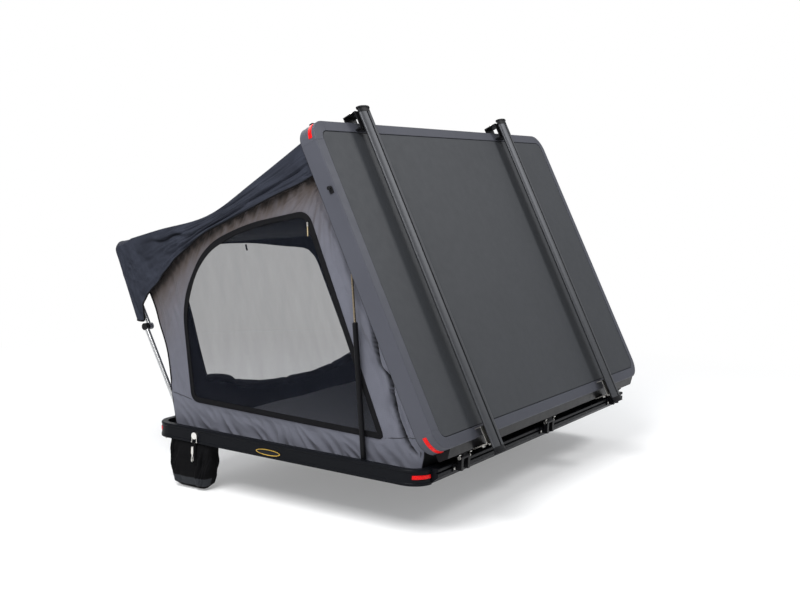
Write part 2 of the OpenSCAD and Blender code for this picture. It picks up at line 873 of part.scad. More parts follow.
module bow_lower(x) {
    color(steel)
        translate([x, 0, 0])
            bow_place()
                difference() {
                    union() {
                        rotate([0, 90, 0]) cylinder(r = bow_eye_r, h = knuckle_w - 2, center = true);
                        cylinder(d = bow_d, h = bow_lower_l - 4);
                    }
                    rotate([0, 90, 0])
                        cylinder(d = bow_pin_d + 2 * run_gap, h = 2 * knuckle_w, center = true);
                    translate([0, 0, bow_lower_l])
                        rotate([0, 90, 0]) cylinder(r = knee_r, h = 2 * knuckle_w, center = true);
                }
}

module bow_lower_left() { bow_lower(-bow_x); }
module bow_lower_right() { bow_lower(bow_x); }

// Knee joints at the top of the lower legs, with the pins that the upper bow turns on
module bow_knuckles() {
    color(rail_black)
        bow_place()
            translate([0, 0, bow_lower_l])
                both_sides()
                    translate([bow_x, 0, 0])
                        rotate([0, -90, 0]) {
                            cylinder(r = knee_r, h = knuckle_w, center = true);
                            cylinder(d = bow_pin_d, h = 1.5 * knuckle_w + 2);
                        }
}

bow_upper_d = 20;
bow_bend_r = 60;

// Upper bow: two legs, two bends and a cross tube
module bow_upper() {
    leg_top = bow_upper_l - bow_bend_r;
    color(steel)
        bow_place()
            translate([0, 0, bow_lower_l]) {
                both_sides()
                    translate([bow_upper_x, 0, 0]) {
                        difference() {
                            union() {
                                rotate([0, 90, 0]) cylinder(r = knee_r, h = knuckle_w, center = true);
                                cylinder(d = bow_upper_d, h = leg_top);
                            }
                            rotate([0, 90, 0])
                                cylinder(d = bow_pin_d + 2 * run_gap, h = 2 * knuckle_w, center = true);
                        }
                        translate([-bow_bend_r, 0, leg_top])
                            rotate([90, 0, 0])
                                rotate_extrude(angle = 90)
                                    translate([bow_bend_r, 0]) circle(d = bow_upper_d);
                    }
                translate([-bow_upper_x + bow_bend_r, 0, bow_upper_l])
                    rotate([0, 90, 0])
                        cylinder(d = bow_upper_d, h = 2 * (bow_upper_x - bow_bend_r));
            }
}

// Fabric

// A sheet through a grid of points, given its thickness along one direction
module sheet(grid, thick) {
    m = len(grid);
    n = len(grid[0]);
    front = [for (row = grid) each row];
    back = [for (row = grid, p = row) p + thick];
    k = m * n;
    skin = [for (i = [0 : m - 2], j = [0 : n - 2])
        let (a = i * n + j, b = a + 1, c = a + n, d = c + 1)
        each [[a, b, d], [a, d, c], [k + a, k + d, k + b], [k + a, k + c, k + d]]];
    rim = concat(
        [for (j = [0 : n - 2]) each hem_faces(j, j + 1, k)],
        [for (j = [0 : n - 2]) each hem_faces((m - 1) * n + j + 1, (m - 1) * n + j, k)],
        [for (i = [0 : m - 2]) each hem_faces((i + 1) * n, i * n, k)],
        [for (i = [0 : m - 2]) each hem_faces(i * n + n - 1, (i + 1) * n + n - 1, k)]);
    polyhedron(points = concat(front, back), faces = concat(skin, rim), convexity = 8);
}

function hem_faces(a, b, k) = [[a, k + a, b], [b, k + a, k + b]];

// A point at a share of the way along a chain of points
function along(chain, share) =
    let (s = min(max(share, 0), 1) * (len(chain) - 1), i = min(floor(s), len(chain) - 2))
    chain[i] + (chain[i + 1] - chain[i]) * (s - i);

lid_lip_top = lid_point(base_d - 46, flange_low - panel_t - lining_t - 7.8);
bow_tip = [bow_y + (bow_lower_l + bow_upper_l) * cos(bow_angle),
           bow_z + (bow_lower_l + bow_upper_l) * sin(bow_angle)];
wall_foot_z = floor_top + slip_gap;
wall_front_foot = [-half_d + 44, wall_foot_z];
wall_rear_foot = [bow_y - 3, wall_foot_z];

// The roof falls from the lid to a low point behind the lid and then runs out to the bow
roof_low = along([lid_lip_top, bow_tip], 0.5) + [6, -100];
roof_line = [lid_lip_top, along([lid_lip_top, roof_low], 0.5) + [0, 14], roof_low,
             along([roof_low, bow_tip], 0.5) + [0, 8], bow_tip + [-8, 26]];

// Side wall: front edge up the lid, rear edge up the bow, top edge under the roof
wall_cols = 22;
wall_rows = 20;
fold_depth = 9;
// How far the rear edge of a wall is hollowed between its ends
rear_hollow = 70;

function wall_point(u, v) =
    let (low = wall_front_foot + (wall_rear_foot - wall_front_foot) * u,
         high = along(roof_line, u) + [u > 0.97 ? -62 : 0, -18])
    low + (high - low) * v - [rear_hollow * pow(u, 4) * sin(180 * v), 0];

// Gathers along the lid and slack in the lower skirt
function wall_fold(u, v) =
    fold_depth * (exp(-14 * u) * sin(1900 * v) + 0.45 * exp(-9 * v) * sin(1500 * u + 500 * v));

module side_wall() {
    grid = [for (i = [0 : wall_rows])
        [for (j = [0 : wall_cols])
            let (u = j / wall_cols, v = i / wall_rows, p = wall_point(u, v))
            [-wall_x + wall_fold(u, v) * (v < 0.02 || v > 0.98 ? 0 : v > 0.7 ? 0.3 : 1), p[0], p[1]]]];
    difference() {
        sheet(grid, [cloth_t, 0, 0]);
        window_prism(40);
    }
}

// Corners of the side window, with the radius of each
window_low = floor_top + 112;
window_corners = [
    [[wall_front_foot[0] + 173, window_low + 3], 28], [[bow_y - 88, window_low + 20], 40],
    [[bow_y - 26, window_low + 450], 150], [[bow_y - 148, window_low + 705], 130],
    [[bow_y - 388, window_low + 813], 120], [[bow_y - 703, window_low + 883], 55]
];

// A polygon with its corners rounded by arcs
function rounded(corners) = [for (i = [0 : len(corners) - 1])
    let (n = len(corners),
         p = corners[i][0], r = corners[i][1],
         a = corners[(i + n - 1) % n][0], b = corners[(i + 1) % n][0],
         ua = (a - p) / norm(a - p), ub = (b - p) / norm(b - p))
    each [for (k = [0 : 6])
        let (t = k / 6, q0 = p + ua * r, q2 = p + ub * r)
        q0 * (1 - t) * (1 - t) + p * 2 * t * (1 - t) + q2 * t * t]];

module window_prism(depth) {
    translate([-wall_x + cloth_t / 2 - depth / 2, 0, 0])
        rotate([90, 0, 90])
            linear_extrude(depth) polygon(rounded(window_corners));
}

module side_wall_left() { color(cloth_grey) side_wall(); }
module side_wall_right() { color(cloth_grey) mirror([1, 0, 0]) side_wall(); }

// Net in the window, drawn as a thin sheet
module window_mesh_left() { color(net_black) window_prism(1); }
module window_mesh_right() { color(net_black) mirror([1, 0, 0]) window_prism(1); }

// Rear wall in front of the bow, with a doorway
rear_cols = 26;
rear_rows = 12;
rear_half = wall_x - 10;
rear_inset = 105;
rear_top_back = 121;
rear_top_drop = 24;
rear_foot = [bow_y - rear_inset, wall_foot_z];
rear_top = bow_tip - [rear_top_back, rear_top_drop];
rear_bulge = 98;
door_foot = rear_foot + [rear_bulge, 0];
door_left = -775;
door_right = 430;
door_low = 0.148;
door_high = 0.95;
door_cut = 60;

// The wall bows out between the legs of the bow
rear_flat = bow_upper_x - bow_d / 2 - 100;
rear_turn = rear_flat + 70;
function rear_fade(x) = x < rear_flat ? 1 : x > rear_turn ? 0 : (rear_turn - x) / (rear_turn - rear_flat);

function rear_point(u, v) =
    let (p = rear_foot + (rear_top - rear_foot) * v,
         slack = 9 * sin(180 * v) * sin(1080 * u + 60),
         x = -rear_half + 2 * rear_half * u)
    [x, p[0] + slack + rear_bulge * (1 - v) * rear_fade(abs(x)), p[1]];

module door_prism(depth) {
    lean = atan2(rear_top[1] - door_foot[1], rear_top[0] - door_foot[0]);
    rise = norm(rear_top - door_foot);
    low = door_low * rise;
    high = door_high * rise;
    corners = [[[door_left, low], 180], [[door_right, low], 110],
               [[door_right - 30, high], 130], [[door_left + 55, high], 280]];
    translate([0, door_foot[0], door_foot[1]])
        rotate([lean, 0, 0])
            translate([0, 0, -depth / 2])
                linear_extrude(depth) polygon(rounded(corners));
}

module rear_wall() {
    grid = [for (i = [0 : rear_rows])
        [for (j = [0 : rear_cols]) rear_point(1 - j / rear_cols, i / rear_rows)]];
    color(cloth_grey)
        difference() {
            sheet(grid, [0, cloth_t, 0]);
            door_prism(door_cut);
        }
}

module door_mesh() { color(net_black) door_prism(1); }

// The door's flap, rolled and bunched along the sill
roll_rings = 24;
roll_sides = 10;

module door_roll() {
    fat = 28;
    slack = -2.2;
    lean = atan2(rear_top[1] - door_foot[1], rear_top[0] - door_foot[0]);
    off = fat + slack + fit_gap;
    sill = door_foot + (rear_top - door_foot) * (door_low - 0.03) + off * [-sin(lean), cos(lean)];
    rings = [for (i = [0 : roll_rings])
        let (t = i / roll_rings,
             r = fat - 6 + 6 * sin(900 * t) - 14 * pow(abs(2 * t - 1), 4),
             x = door_left + 90 + (door_right - door_left - 150) * t)
        [for (k = [0 : roll_sides - 1])
            let (a = k * 360 / roll_sides)
            [x, sill[0] + r * cos(a), sill[1] + r * sin(a)]]];
    color(cloth_grey) ring_stack(rings);
}

// Awning: a top sheet from the lid to the bow, with flaps that hang down both sides
fly_steps = 20;
fly_half = wall_x + 13;
flap_front = lid_point(base_d - 215, -6);
flap_rear = [bow_y + 250, bow_z + 392];
hem_line = [flap_front + [74, -9], flap_front + [217, -70], flap_front + [363, -140],
            flap_front + [596, -246], flap_front + [756, -360], flap_front + [857, -460],
            flap_front + [924, -528], flap_rear + [-25, 100], flap_rear];
fly_columns = 10;
fly_sag = 26;

function fly_row(u) =
    let (top = along(roof_line, u) + [u > 0.99 ? 22 : 0, 16], hem = along(hem_line, u),
         mid = (top + hem) / 2,
         ripple = 6 * sin(1400 * u) * (u > 0.02 && u < 0.98 ? 1 : 0))
    concat(
        [[-fly_half, hem[0], hem[1]], [-fly_half - ripple, mid[0], mid[1]]],
        [for (k = [0 : fly_columns])
            let (t = 2 * k / fly_columns - 1)
            [t * fly_half, top[0], top[1] - fly_sag * (1 - t * t) * sin(180 * u)]],
        [[fly_half + ripple, mid[0], mid[1]], [fly_half, hem[0], hem[1]]]);

// The inner skin is the outer one drawn towards the middle and down
function inner_skin(p) =
    [p[0] - sign(p[0]) * cloth_t * min(abs(p[0]) / fly_half, 1), p[1], p[2] - cloth_t];

module two_skins(grid, inner) {
    m = len(grid);
    n = len(grid[0]);
    k = m * n;
    skin = [for (i = [0 : m - 2], j = [0 : n - 2])
        let (a = i * n + j, b = a + 1, c = a + n, d = c + 1)
        each [[a, d, b], [a, c, d], [k + a, k + b, k + d], [k + a, k + d, k + c]]];
    rim = concat(
        [for (j = [0 : n - 2]) each hem_faces(j + 1, j, k)],
        [for (j = [0 : n - 2]) each hem_faces((m - 1) * n + j, (m - 1) * n + j + 1, k)],
        [for (i = [0 : m - 2]) each hem_faces(i * n, (i + 1) * n, k)],
        [for (i = [0 : m - 2]) each hem_faces((i + 1) * n + n - 1, i * n + n - 1, k)]);
    polyhedron(points = concat([for (row = grid) each row], [for (row = inner) each row]),
               faces = concat(skin, rim), convexity = 8);
}

module rain_fly() {
    grid = [for (i = [0 : fly_steps]) fly_row(i / fly_steps)];
    color(fly_navy) two_skins(grid, [for (row = grid) [for (p = row) inner_skin(p)]]);
}

// Shoe bag under the left rail

bag_x = -half_w - 7;
bag_y = half_d - 248;
bag_top = -3;
strap_t = 4;
// Middle of the bag, whose outer face lies on the strap
bag_mid = [bag_x + strap_t / 2 + bag_t / 2 + slip_gap, bag_y + 43];
bag_pivot_z = 6;
ring_wire = 4;
ring_w = 26;
strap_w = 18;
strap_sewn = 70;

// Plate on the rail with a straight-sided ring
module bag_hook() {
    ring_top = 34;
    color(steel)
        translate([0, bag_y, 0]) {
            translate([-half_w + rail_panel, 0, ring_top])
                rotate([0, -90, 0])
                    cylinder(r = 15, h = -bag_x - half_w + rail_panel + ring_wire / 2);
            for (side = [-1, 1])
                translate([bag_x, side * ring_w / 2, bag_pivot_z])
                    cylinder(d = ring_wire - 1, h = ring_top - bag_pivot_z);
            translate([bag_x, -ring_w / 2 - ring_wire, bag_pivot_z])
                rotate([-90, 0, 0]) cylinder(d = ring_wire, h = ring_w + 2 * ring_wire);
        }
}

// Webbing sewn round the ring and down to the bag
module bag_strap() {
    bore = ring_wire + 2 * fit_gap;
    color(rail_black)
        translate([bag_x, bag_y - strap_w / 2, bag_pivot_z])
            difference() {
                union() {
                    rotate([-90, 0, 0]) cylinder(d = bore + 5, h = strap_w);
                    translate([-strap_t / 2, 0, bag_top - strap_sewn - bag_pivot_z])
                        cube([strap_t, strap_w, bag_pivot_z - bag_top + strap_sewn]);
                }
                translate([0, -1, 0]) rotate([-90, 0, 0]) cylinder(d = bore, h = strap_w + 2);
            }
}

module shoe_bag() {
    round_r = 20;
    half_t = bag_t / 2;
    color(rail_black)
        translate([bag_mid[0], bag_mid[1], bag_top])
            difference() {
                hull()
                    for (y = [-1, 1]) {
                        for (x = [round_r - half_t, half_t - 1.6 * round_r])
                            translate([x, y * (bag_w / 2 - round_r), 0])
                                sphere(r = round_r, $fn = 24);
                        for (x = [round_r - half_t, half_t - round_r])
                            translate([x, y * (bag_w / 2 - 1.4 * round_r), round_r - bag_h])
                                sphere(r = round_r, $fn = 24);
                    }
                translate([-bag_t, -bag_w, 0]) cube([2 * bag_t, 2 * bag_w, 60]);
            }
}

base_floor();
base_rail_left();
base_rail_right();
base_rail_front();
base_rail_rear();
base_corners();
base_reflectors();
mount_rails();
mattress();
hinge_base_leaves();
hinge_lid_leaves();
hinge_pins();
hinge_base_screws();
hinge_lid_screws();
lid_rail_left();
lid_rail_right();
lid_rail_front();
lid_rail_rear();
lid_corners();
lid_panel();
lid_lining();
lid_seal();
lid_hinge_rail();
lid_reflectors();
lid_side_hooks();
bar_left();
bar_right();
bar_end_caps();
bar_feet();
bar_foot_bolts();
latch_plates();
latch_keepers();
latch_lever_left();
latch_lever_right();
latch_bail_left();
latch_bail_right();
strut_brackets();
strut_studs();
strut_tube_left();
strut_tube_right();
strut_rod_left();
strut_rod_right();
bow_brackets();
bow_lower_left();
bow_lower_right();
bow_knuckles();
bow_upper();
side_wall_left();
side_wall_right();
window_mesh_left();
window_mesh_right();
rear_wall();
door_mesh();
door_roll();
rain_fly();
shoe_bag();
bag_strap();
bag_hook();
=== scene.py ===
# %% [markdown]
# # Roof top tent
# The tent's frame, hinges, struts and bars come from the packed model and stay where they are.
# This file gives them their finishes and makes what is sewn: walls, net windows, awning, mattress
# and bag. Each step says what the real piece is, then makes it.

# %% Load the frame
import json
import math

import bpy
from mathutils import Matrix, Vector, noise


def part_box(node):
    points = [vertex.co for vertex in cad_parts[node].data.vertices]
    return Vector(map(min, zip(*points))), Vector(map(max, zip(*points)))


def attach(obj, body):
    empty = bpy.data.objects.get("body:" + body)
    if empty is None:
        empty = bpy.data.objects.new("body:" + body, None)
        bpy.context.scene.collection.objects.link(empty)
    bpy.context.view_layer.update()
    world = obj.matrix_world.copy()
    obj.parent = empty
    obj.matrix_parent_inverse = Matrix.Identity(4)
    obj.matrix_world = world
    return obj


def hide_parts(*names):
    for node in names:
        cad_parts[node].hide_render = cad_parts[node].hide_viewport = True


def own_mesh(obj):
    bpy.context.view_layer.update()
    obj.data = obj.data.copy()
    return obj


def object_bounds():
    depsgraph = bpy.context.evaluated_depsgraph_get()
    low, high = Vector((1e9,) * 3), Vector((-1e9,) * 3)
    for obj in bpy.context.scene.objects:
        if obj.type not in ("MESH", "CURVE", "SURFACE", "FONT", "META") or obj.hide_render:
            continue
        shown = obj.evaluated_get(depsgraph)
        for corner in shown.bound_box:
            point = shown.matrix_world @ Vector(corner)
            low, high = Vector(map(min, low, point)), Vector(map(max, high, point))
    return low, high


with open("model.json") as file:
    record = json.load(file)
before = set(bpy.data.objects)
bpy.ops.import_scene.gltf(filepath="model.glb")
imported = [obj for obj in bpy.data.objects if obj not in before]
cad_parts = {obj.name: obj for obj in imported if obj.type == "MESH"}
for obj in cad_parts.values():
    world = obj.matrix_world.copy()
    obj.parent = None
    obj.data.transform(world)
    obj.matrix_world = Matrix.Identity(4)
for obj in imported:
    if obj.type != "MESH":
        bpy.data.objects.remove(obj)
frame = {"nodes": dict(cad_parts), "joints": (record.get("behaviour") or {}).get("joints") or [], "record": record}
nodes = frame["nodes"]
cad_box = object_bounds()
print("CAD box", cad_box)

# %% [markdown]
# ## The view
# The photograph was taken from the hinge side's left corner, a little above the tray, with a lens
# of about 51 mm. A camera could be aimed with a constraint, but then its roll is hard to set. Here
# the direction is written as a turn about Z and a dip below the horizon, with a small roll.

# %% Camera
VIEW_FROM = Vector((-4.6654, -2.8631, 1.239))
VIEW_TURN = 57.813
VIEW_DIP = -6.964
VIEW_ROLL = 1.527
LENS_MM = 51.37
SENSOR_MM = 36.0


def photo_camera():
    turn, dip, roll = (math.radians(v) for v in (VIEW_TURN, VIEW_DIP, VIEW_ROLL))
    ahead = Vector((math.sin(turn) * math.cos(dip), math.cos(turn) * math.cos(dip), math.sin(dip)))
    level = ahead.cross(Vector((0, 0, 1))).normalized()
    upright = level.cross(ahead)
    right = math.cos(roll) * level + math.sin(roll) * upright
    up = right.cross(ahead)
    data = bpy.data.cameras.new("photo_camera")
    data.sensor_width = SENSOR_MM
    data.lens = LENS_MM
    camera = bpy.data.objects.new("photo_camera", data)
    bpy.context.scene.collection.objects.link(camera)
    rows = [(right[i], up[i], -ahead[i], VIEW_FROM[i]) for i in range(3)]
    camera.matrix_world = Matrix(rows + [(0, 0, 0, 1)])
    bpy.context.scene.camera = camera
    return camera


bpy.context.scene.view_settings.view_transform = "Standard"
print("camera at", photo_camera().matrix_world.translation)

# %% [markdown]
# ## Studio
# The tent stands on a pale floor in a pale surround. A plain white surround would light the dark
# finishes from all sides and wash them out. So it is white only to the camera and through the nets,
# and grey to all other light. The floor fades into it, so that no horizon shows.

# %% Floor
FLOOR_Z = cad_box[0].z - 0.006
FLOOR_RADIUS = 14.0
SHADE_NEAR, SHADE_FAR = 1.7, 4.2
SHADE_LEAST = 0.25


def deselect():
    if bpy.context.object and bpy.context.object.mode != "OBJECT":
        bpy.ops.object.mode_set(mode="OBJECT")
    bpy.ops.object.select_all(action="DESELECT")


def white_to_camera(tree, plain, white):
    """A shader that is white for camera and see-through rays, and plain for all other light."""
    path = tree.nodes.new("ShaderNodeLightPath")
    through = tree.nodes.new("ShaderNodeMath")
    through.operation = "MAXIMUM"
    mix = tree.nodes.new("ShaderNodeMixShader")
    link = tree.links.new
    link(path.outputs["Is Camera Ray"], through.inputs[0])
    link(path.outputs["Is Transmission Ray"], through.inputs[1])
    link(through.outputs[0], mix.inputs["Fac"])
    link(plain.outputs[0], mix.inputs[1])
    link(white.outputs[0], mix.inputs[2])
    return mix


def pale_floor():
    """A white disc whose far part is as bright as the surround."""
    deselect()
    bpy.ops.mesh.primitive_circle_add(vertices=96, radius=FLOOR_RADIUS, fill_type="NGON",
                                      location=(0, 0, FLOOR_Z))
    floor = bpy.context.object
    floor.name = "studio_floor"
    finish = bpy.data.materials.new("studio_floor")
    finish.use_nodes = True
    tree = finish.node_tree
    link = tree.links.new
    shader = tree.nodes["Principled BSDF"]
    shader.inputs["Base Color"].default_value = (0.96, 0.96, 0.96, 1)
    shader.inputs["Roughness"].default_value = 0.95
    shader.inputs["Specular IOR Level"].default_value = 0.0
    coords = tree.nodes.new("ShaderNodeTexCoord")
    distance = tree.nodes.new("ShaderNodeVectorMath")
    distance.operation = "LENGTH"
    fade = tree.nodes.new("ShaderNodeMapRange")
    fade.interpolation_type = "SMOOTHSTEP"
    fade.inputs["From Min"].default_value = SHADE_NEAR
    fade.inputs["From Max"].default_value = SHADE_FAR
    fade.inputs["To Min"].default_value = SHADE_LEAST
    white = tree.nodes.new("ShaderNodeEmission")
    white.inputs["Strength"].default_value = 1.0
    seen = white_to_camera(tree, shader, white)
    blend = tree.nodes.new("ShaderNodeMixShader")
    link(coords.outputs["Object"], distance.inputs[0])
    link(distance.outputs["Value"], fade.inputs["Value"])
    link(fade.outputs["Result"], blend.inputs["Fac"])
    link(shader.outputs[0], blend.inputs[1])
    link(seen.outputs[0], blend.inputs[2])
    link(blend.outputs[0], tree.nodes["Material Output"].inputs["Surface"])
    floor.data.materials.append(finish)


pale_floor()
print("floor at", round(FLOOR_Z, 4))

# %% [markdown]
# The surround is the world's background. A photograph of a studio could stand there, but a plain
# colour is enough for a plain studio, and the same mix of shaders as on the floor keeps it white
# in the picture.

# %% Surround
SURROUND_TINT = (0.93, 0.96, 1.0, 1)
SURROUND_STRENGTH = 0.50


def surround():
    world = bpy.data.worlds.new("studio")
    bpy.context.scene.world = world
    world.use_nodes = True
    tree = world.node_tree
    plain = tree.nodes["Background"]
    plain.inputs["Color"].default_value = SURROUND_TINT
    plain.inputs["Strength"].default_value = SURROUND_STRENGTH
    white = tree.nodes.new("ShaderNodeBackground")
    white.inputs["Color"].default_value = (1, 1, 1, 1)
    white.inputs["Strength"].default_value = 1.0
    mix = white_to_camera(tree, plain, white)
    tree.links.new(mix.outputs[0], tree.nodes["World Output"].inputs["Surface"])


surround()
print("surround strength", SURROUND_STRENGTH)

# %% [markdown]
# Three soft lamps light the tent: a large one above its left side, and weaker ones before the lid
# and behind the awning. Large area lamps give the soft shadow edges of a photographer's studio,
# which small or point lamps can't.

# %% Lamps
LAMPS = (
    # name, place, aim, size, power
    ("key_lamp", (-3.7, -0.3, 4.3), (-0.2, 0, 0.6), 3.0, 320.0),
    ("front_lamp", (2.3, -3.1, 3.9), (0.2, -0.2, 1.1), 1.5, 108.0),
    ("back_lamp", (1.5, 4.5, 3.2), (0, 0.6, 0.5), 3.0, 70.0),
)

for lamp_name, place, aim, size, power in LAMPS:
    light = bpy.data.lights.new(lamp_name, "AREA")
    light.size = size
    light.energy = power
    lamp = bpy.data.objects.new(lamp_name, light)
    bpy.context.scene.collection.objects.link(lamp)
    lamp.location = place
    lamp.rotation_euler = (Vector(aim) - Vector(place)).to_track_quat("-Z", "Y").to_euler()
print("lamps", [row[0] for row in LAMPS])

# %% [markdown]
# ## Finishes
# Every finish starts from the same plan: a shader, a fine noise that breaks up its colour and
# roughness, and a bump. The nodes could be wired one by one each time, but a small helper that adds
# and joins them keeps each finish down to what the real material shows: grain in powder coat, brush
# lines in metal, threads in cloth.

# %% A helper for node trees
class Finish:
    """A material under construction, with short ways to add and join nodes."""

    def __init__(self, name):
        self.material = bpy.data.materials.new(name)
        self.material.use_nodes = True
        self.tree = self.material.node_tree
        self.shader = self.tree.nodes["Principled BSDF"]
        self.coords = self.tree.nodes.new("ShaderNodeTexCoord")

    def node(self, kind, **sockets):
        made = self.tree.nodes.new("ShaderNode" + kind)
        for name, value in sockets.items():
            made.inputs[name.replace("_", " ")].default_value = value
        return made

    def join(self, source, target):
        self.tree.links.new(source, target)

    def set(self, **sockets):
        for name, value in sockets.items():
            self.shader.inputs[name.replace("_", " ")].default_value = value

    def place(self, stretch=(1, 1, 1), turn=(0, 0, 0), source="Object"):
        mapping = self.node("Mapping", Scale=stretch, Rotation=turn)
        self.join(self.coords.outputs[source], mapping.inputs["Vector"])
        return mapping.outputs["Vector"]

    def noise(self, scale, detail=3.0, rough=0.5, where=None):
        made = self.node("TexNoise", Scale=scale, Detail=detail, Roughness=rough)
        self.join(where or self.place(), made.inputs["Vector"])
        return made.outputs["Fac"]

    def ramp(self, value, *stops):
        made = self.node("ValToRGB")
        ramp = made.color_ramp
        while len(ramp.elements) < len(stops):
            ramp.elements.new(0.5)
        for element, (at, colour) in zip(ramp.elements, stops):
            element.position = at
            element.color = (*colour, 1)
        self.join(value, made.inputs["Fac"])
        return made.outputs["Color"]

    def spread(self, value, low, high):
        made = self.node("MapRange", To_Min=low, To_Max=high)
        self.join(value, made.inputs["Value"])
        return made.outputs["Result"]

    def axes(self, where):
        split = self.node("SeparateXYZ")
        self.join(where, split.inputs["Vector"])
        return split.outputs

    def math(self, kind, first, second):
        made = self.node("Math")
        made.operation = kind
        for socket, value in zip(made.inputs, (first, second)):
            if isinstance(value, (int, float)):
                socket.default_value = value
            else:
                self.join(value, socket)
        return made.outputs[0]

    def times(self, first, second, share):
        """One colour multiplied by another, by a share."""
        made = self.node("MixRGB", Fac=share)
        made.blend_type = "MULTIPLY"
        self.join(first, made.inputs["Color1"])
        self.join(second, made.inputs["Color2"])
        return made.outputs["Color"]

    def bump(self, height, strength, distance, edge=0.0):
        """A bump from a height, over edges that are shaded as if rounded by a small radius."""
        made = self.node("Bump", Strength=strength, Distance=distance)
        if edge:
            round_edge = self.node("Bevel", Radius=edge)
            round_edge.samples = 4
            self.join(round_edge.outputs["Normal"], made.inputs["Normal"])
        self.join(height, made.inputs["Height"])
        self.join(made.outputs["Normal"], self.shader.inputs["Normal"])

    def colour(self, socket):
        self.join(socket, self.shader.inputs["Base Color"])

    def roughness(self, socket):
        self.join(socket, self.shader.inputs["Roughness"])


def shade(colour, factor):
    return tuple(min(1.0, c * factor) for c in colour)


print("finish helper with", [name for name in vars(Finish) if not name.startswith("_")])

# %% [markdown]
# Painted and powder-coated metal has a fine orange-peel grain, and a faint cloudiness that handling
# leaves. Both could be painted as images, but noise has no seams on a solid of many faces. The
# grain is a noise of about one millimetre and the clouds are a hand's width.

# %% Coated metal and plastic
CLOUD_SCALE, SMEAR_SCALE = 5.0, 24.0


def coated(name, colour, rough, grain=900.0, depth=0.0002, strength=0.3, shine=0.4, edge=0.0016):
    f = Finish(name)
    clouds = f.noise(CLOUD_SCALE, 4.0)
    f.colour(f.ramp(clouds, (0.3, shade(colour, 0.96)), (0.7, shade(colour, 1.04))))
    f.roughness(f.spread(f.noise(SMEAR_SCALE, 5.0), rough - 0.07, rough + 0.09))
    f.bump(f.noise(grain, 2.0), strength, depth, edge)
    f.set(Specular_IOR_Level=shine)
    return f.material


tray_black = coated("tray_black", (0.0045, 0.005, 0.0065), 0.36, 700.0, shine=0.055)
shell_paint = coated("shell_paint", (0.055, 0.057, 0.070), 0.52, 800.0, shine=0.20, edge=0.004)
panel_grain = coated("panel_grain", (0.0315, 0.0338, 0.0382), 0.60, 420.0, 0.0006, 0.4, shine=0.3)
hinge_black = coated("hinge_black", (0.005, 0.005, 0.006), 0.36, shine=0.09)
moulded_black = coated("moulded_black", (0.006, 0.006, 0.007), 0.5, 500.0, 0.0003, shine=0.15)
floor_grey = coated("floor_grey", (0.035, 0.035, 0.04), 0.7, 300.0, shine=0.2)
seal_black = coated("seal_black", (0.007, 0.007, 0.008), 0.75, 240.0, 0.0004, shine=0.2)
print("coated finishes", [m.name for m in (tray_black, shell_paint, panel_grain, hinge_black,
                                           moulded_black, floor_grey, seal_black)])

# %% [markdown]
# Drawn and brushed metal shows fine lines along the direction it was worked. An anisotropic shader
# would need tangents on every solid; a noise stretched along that direction doesn't, and it moves
# the roughness more than the colour.

# %% Bright metal
LINE_SCALE = 60.0
LINE_BUMP = (0.12, 0.0002)


def drawn_metal(name, colour, rough, stretch):
    f = Finish(name)
    lines = f.noise(LINE_SCALE, 4.0, 0.6, f.place(stretch))
    f.colour(f.ramp(lines, (0.25, shade(colour, 0.82)), (0.75, shade(colour, 1.08))))
    f.roughness(f.spread(lines, rough - 0.08, rough + 0.12))
    f.bump(lines, *LINE_BUMP)
    f.set(Metallic=1.0)
    return f.material


stainless = drawn_metal("stainless", (0.72, 0.70, 0.66), 0.28, (1, 14, 14))
pole_alloy = drawn_metal("pole_alloy", (0.62, 0.62, 0.62), 0.25, (9, 9, 1))
rod_steel = drawn_metal("rod_steel", (0.36, 0.29, 0.20), 0.22, (9, 9, 1))
bar_alloy = drawn_metal("bar_alloy", (0.086, 0.088, 0.094), 0.52, (16, 1, 1))
print("bright metals", [m.name for m in (stainless, pole_alloy, rod_steel, bar_alloy)])

# %% [markdown]
# The bars stand on folded feet. Those at the hinge side are bare brushed steel, and those at the
# lid's other end have a black coat. One material serves both: a step along Y, far from either
# pair, chooses the colour and how metallic the surface is.

# %% Feet of the bars
FEET_CHANGE_Y = -0.45
FOOT_COAT = (0.008, 0.008, 0.009, 1)


def foot_metal():
    f = Finish("foot_steel")
    lines = f.noise(LINE_SCALE, 4.0, 0.6, f.place((1, 14, 14)))
    coated_end = f.math("GREATER_THAN", f.axes(f.place())["Y"], FEET_CHANGE_Y)
    bare = f.ramp(lines, (0.25, (0.43, 0.41, 0.38)), (0.75, (0.56, 0.54, 0.50)))
    either = f.node("MixRGB", Color2=FOOT_COAT)
    f.join(coated_end, either.inputs["Fac"])
    f.join(bare, either.inputs["Color1"])
    f.colour(either.outputs["Color"])
    f.join(f.math("SUBTRACT", 1.0, coated_end), f.shader.inputs["Metallic"])
    f.roughness(f.spread(lines, 0.28, 0.48))
    f.bump(lines, *LINE_BUMP)
    f.set(Specular_IOR_Level=0.15)
    return f.material


foot_steel = foot_metal()
print("feet change their coat at y", FEET_CHANGE_Y)

# %% [markdown]
# A reflector is clear red plastic over rows of small prisms. Real prisms would be thousands of
# faces that no pixel shows, so they are cells in the bump, under a smooth coat.

# %% Red reflector
PRISM_SCALE = 260.0


def reflector():
    f = Finish("reflector_red")
    cells = f.node("TexVoronoi", Scale=PRISM_SCALE)
    f.join(f.place(), cells.inputs["Vector"])
    prisms = cells.outputs["Distance"]
    f.colour(f.ramp(prisms, (0.0, (0.80, 0.006, 0.006)), (0.8, (0.48, 0.002, 0.002))))
    f.bump(prisms, 0.5, 0.001)
    f.set(Roughness=0.35, Coat_Weight=0.12, Coat_Roughness=0.08, Specular_IOR_Level=0.1)
    return f.material


reflector_red = reflector()
print("reflector prisms per metre", PRISM_SCALE)

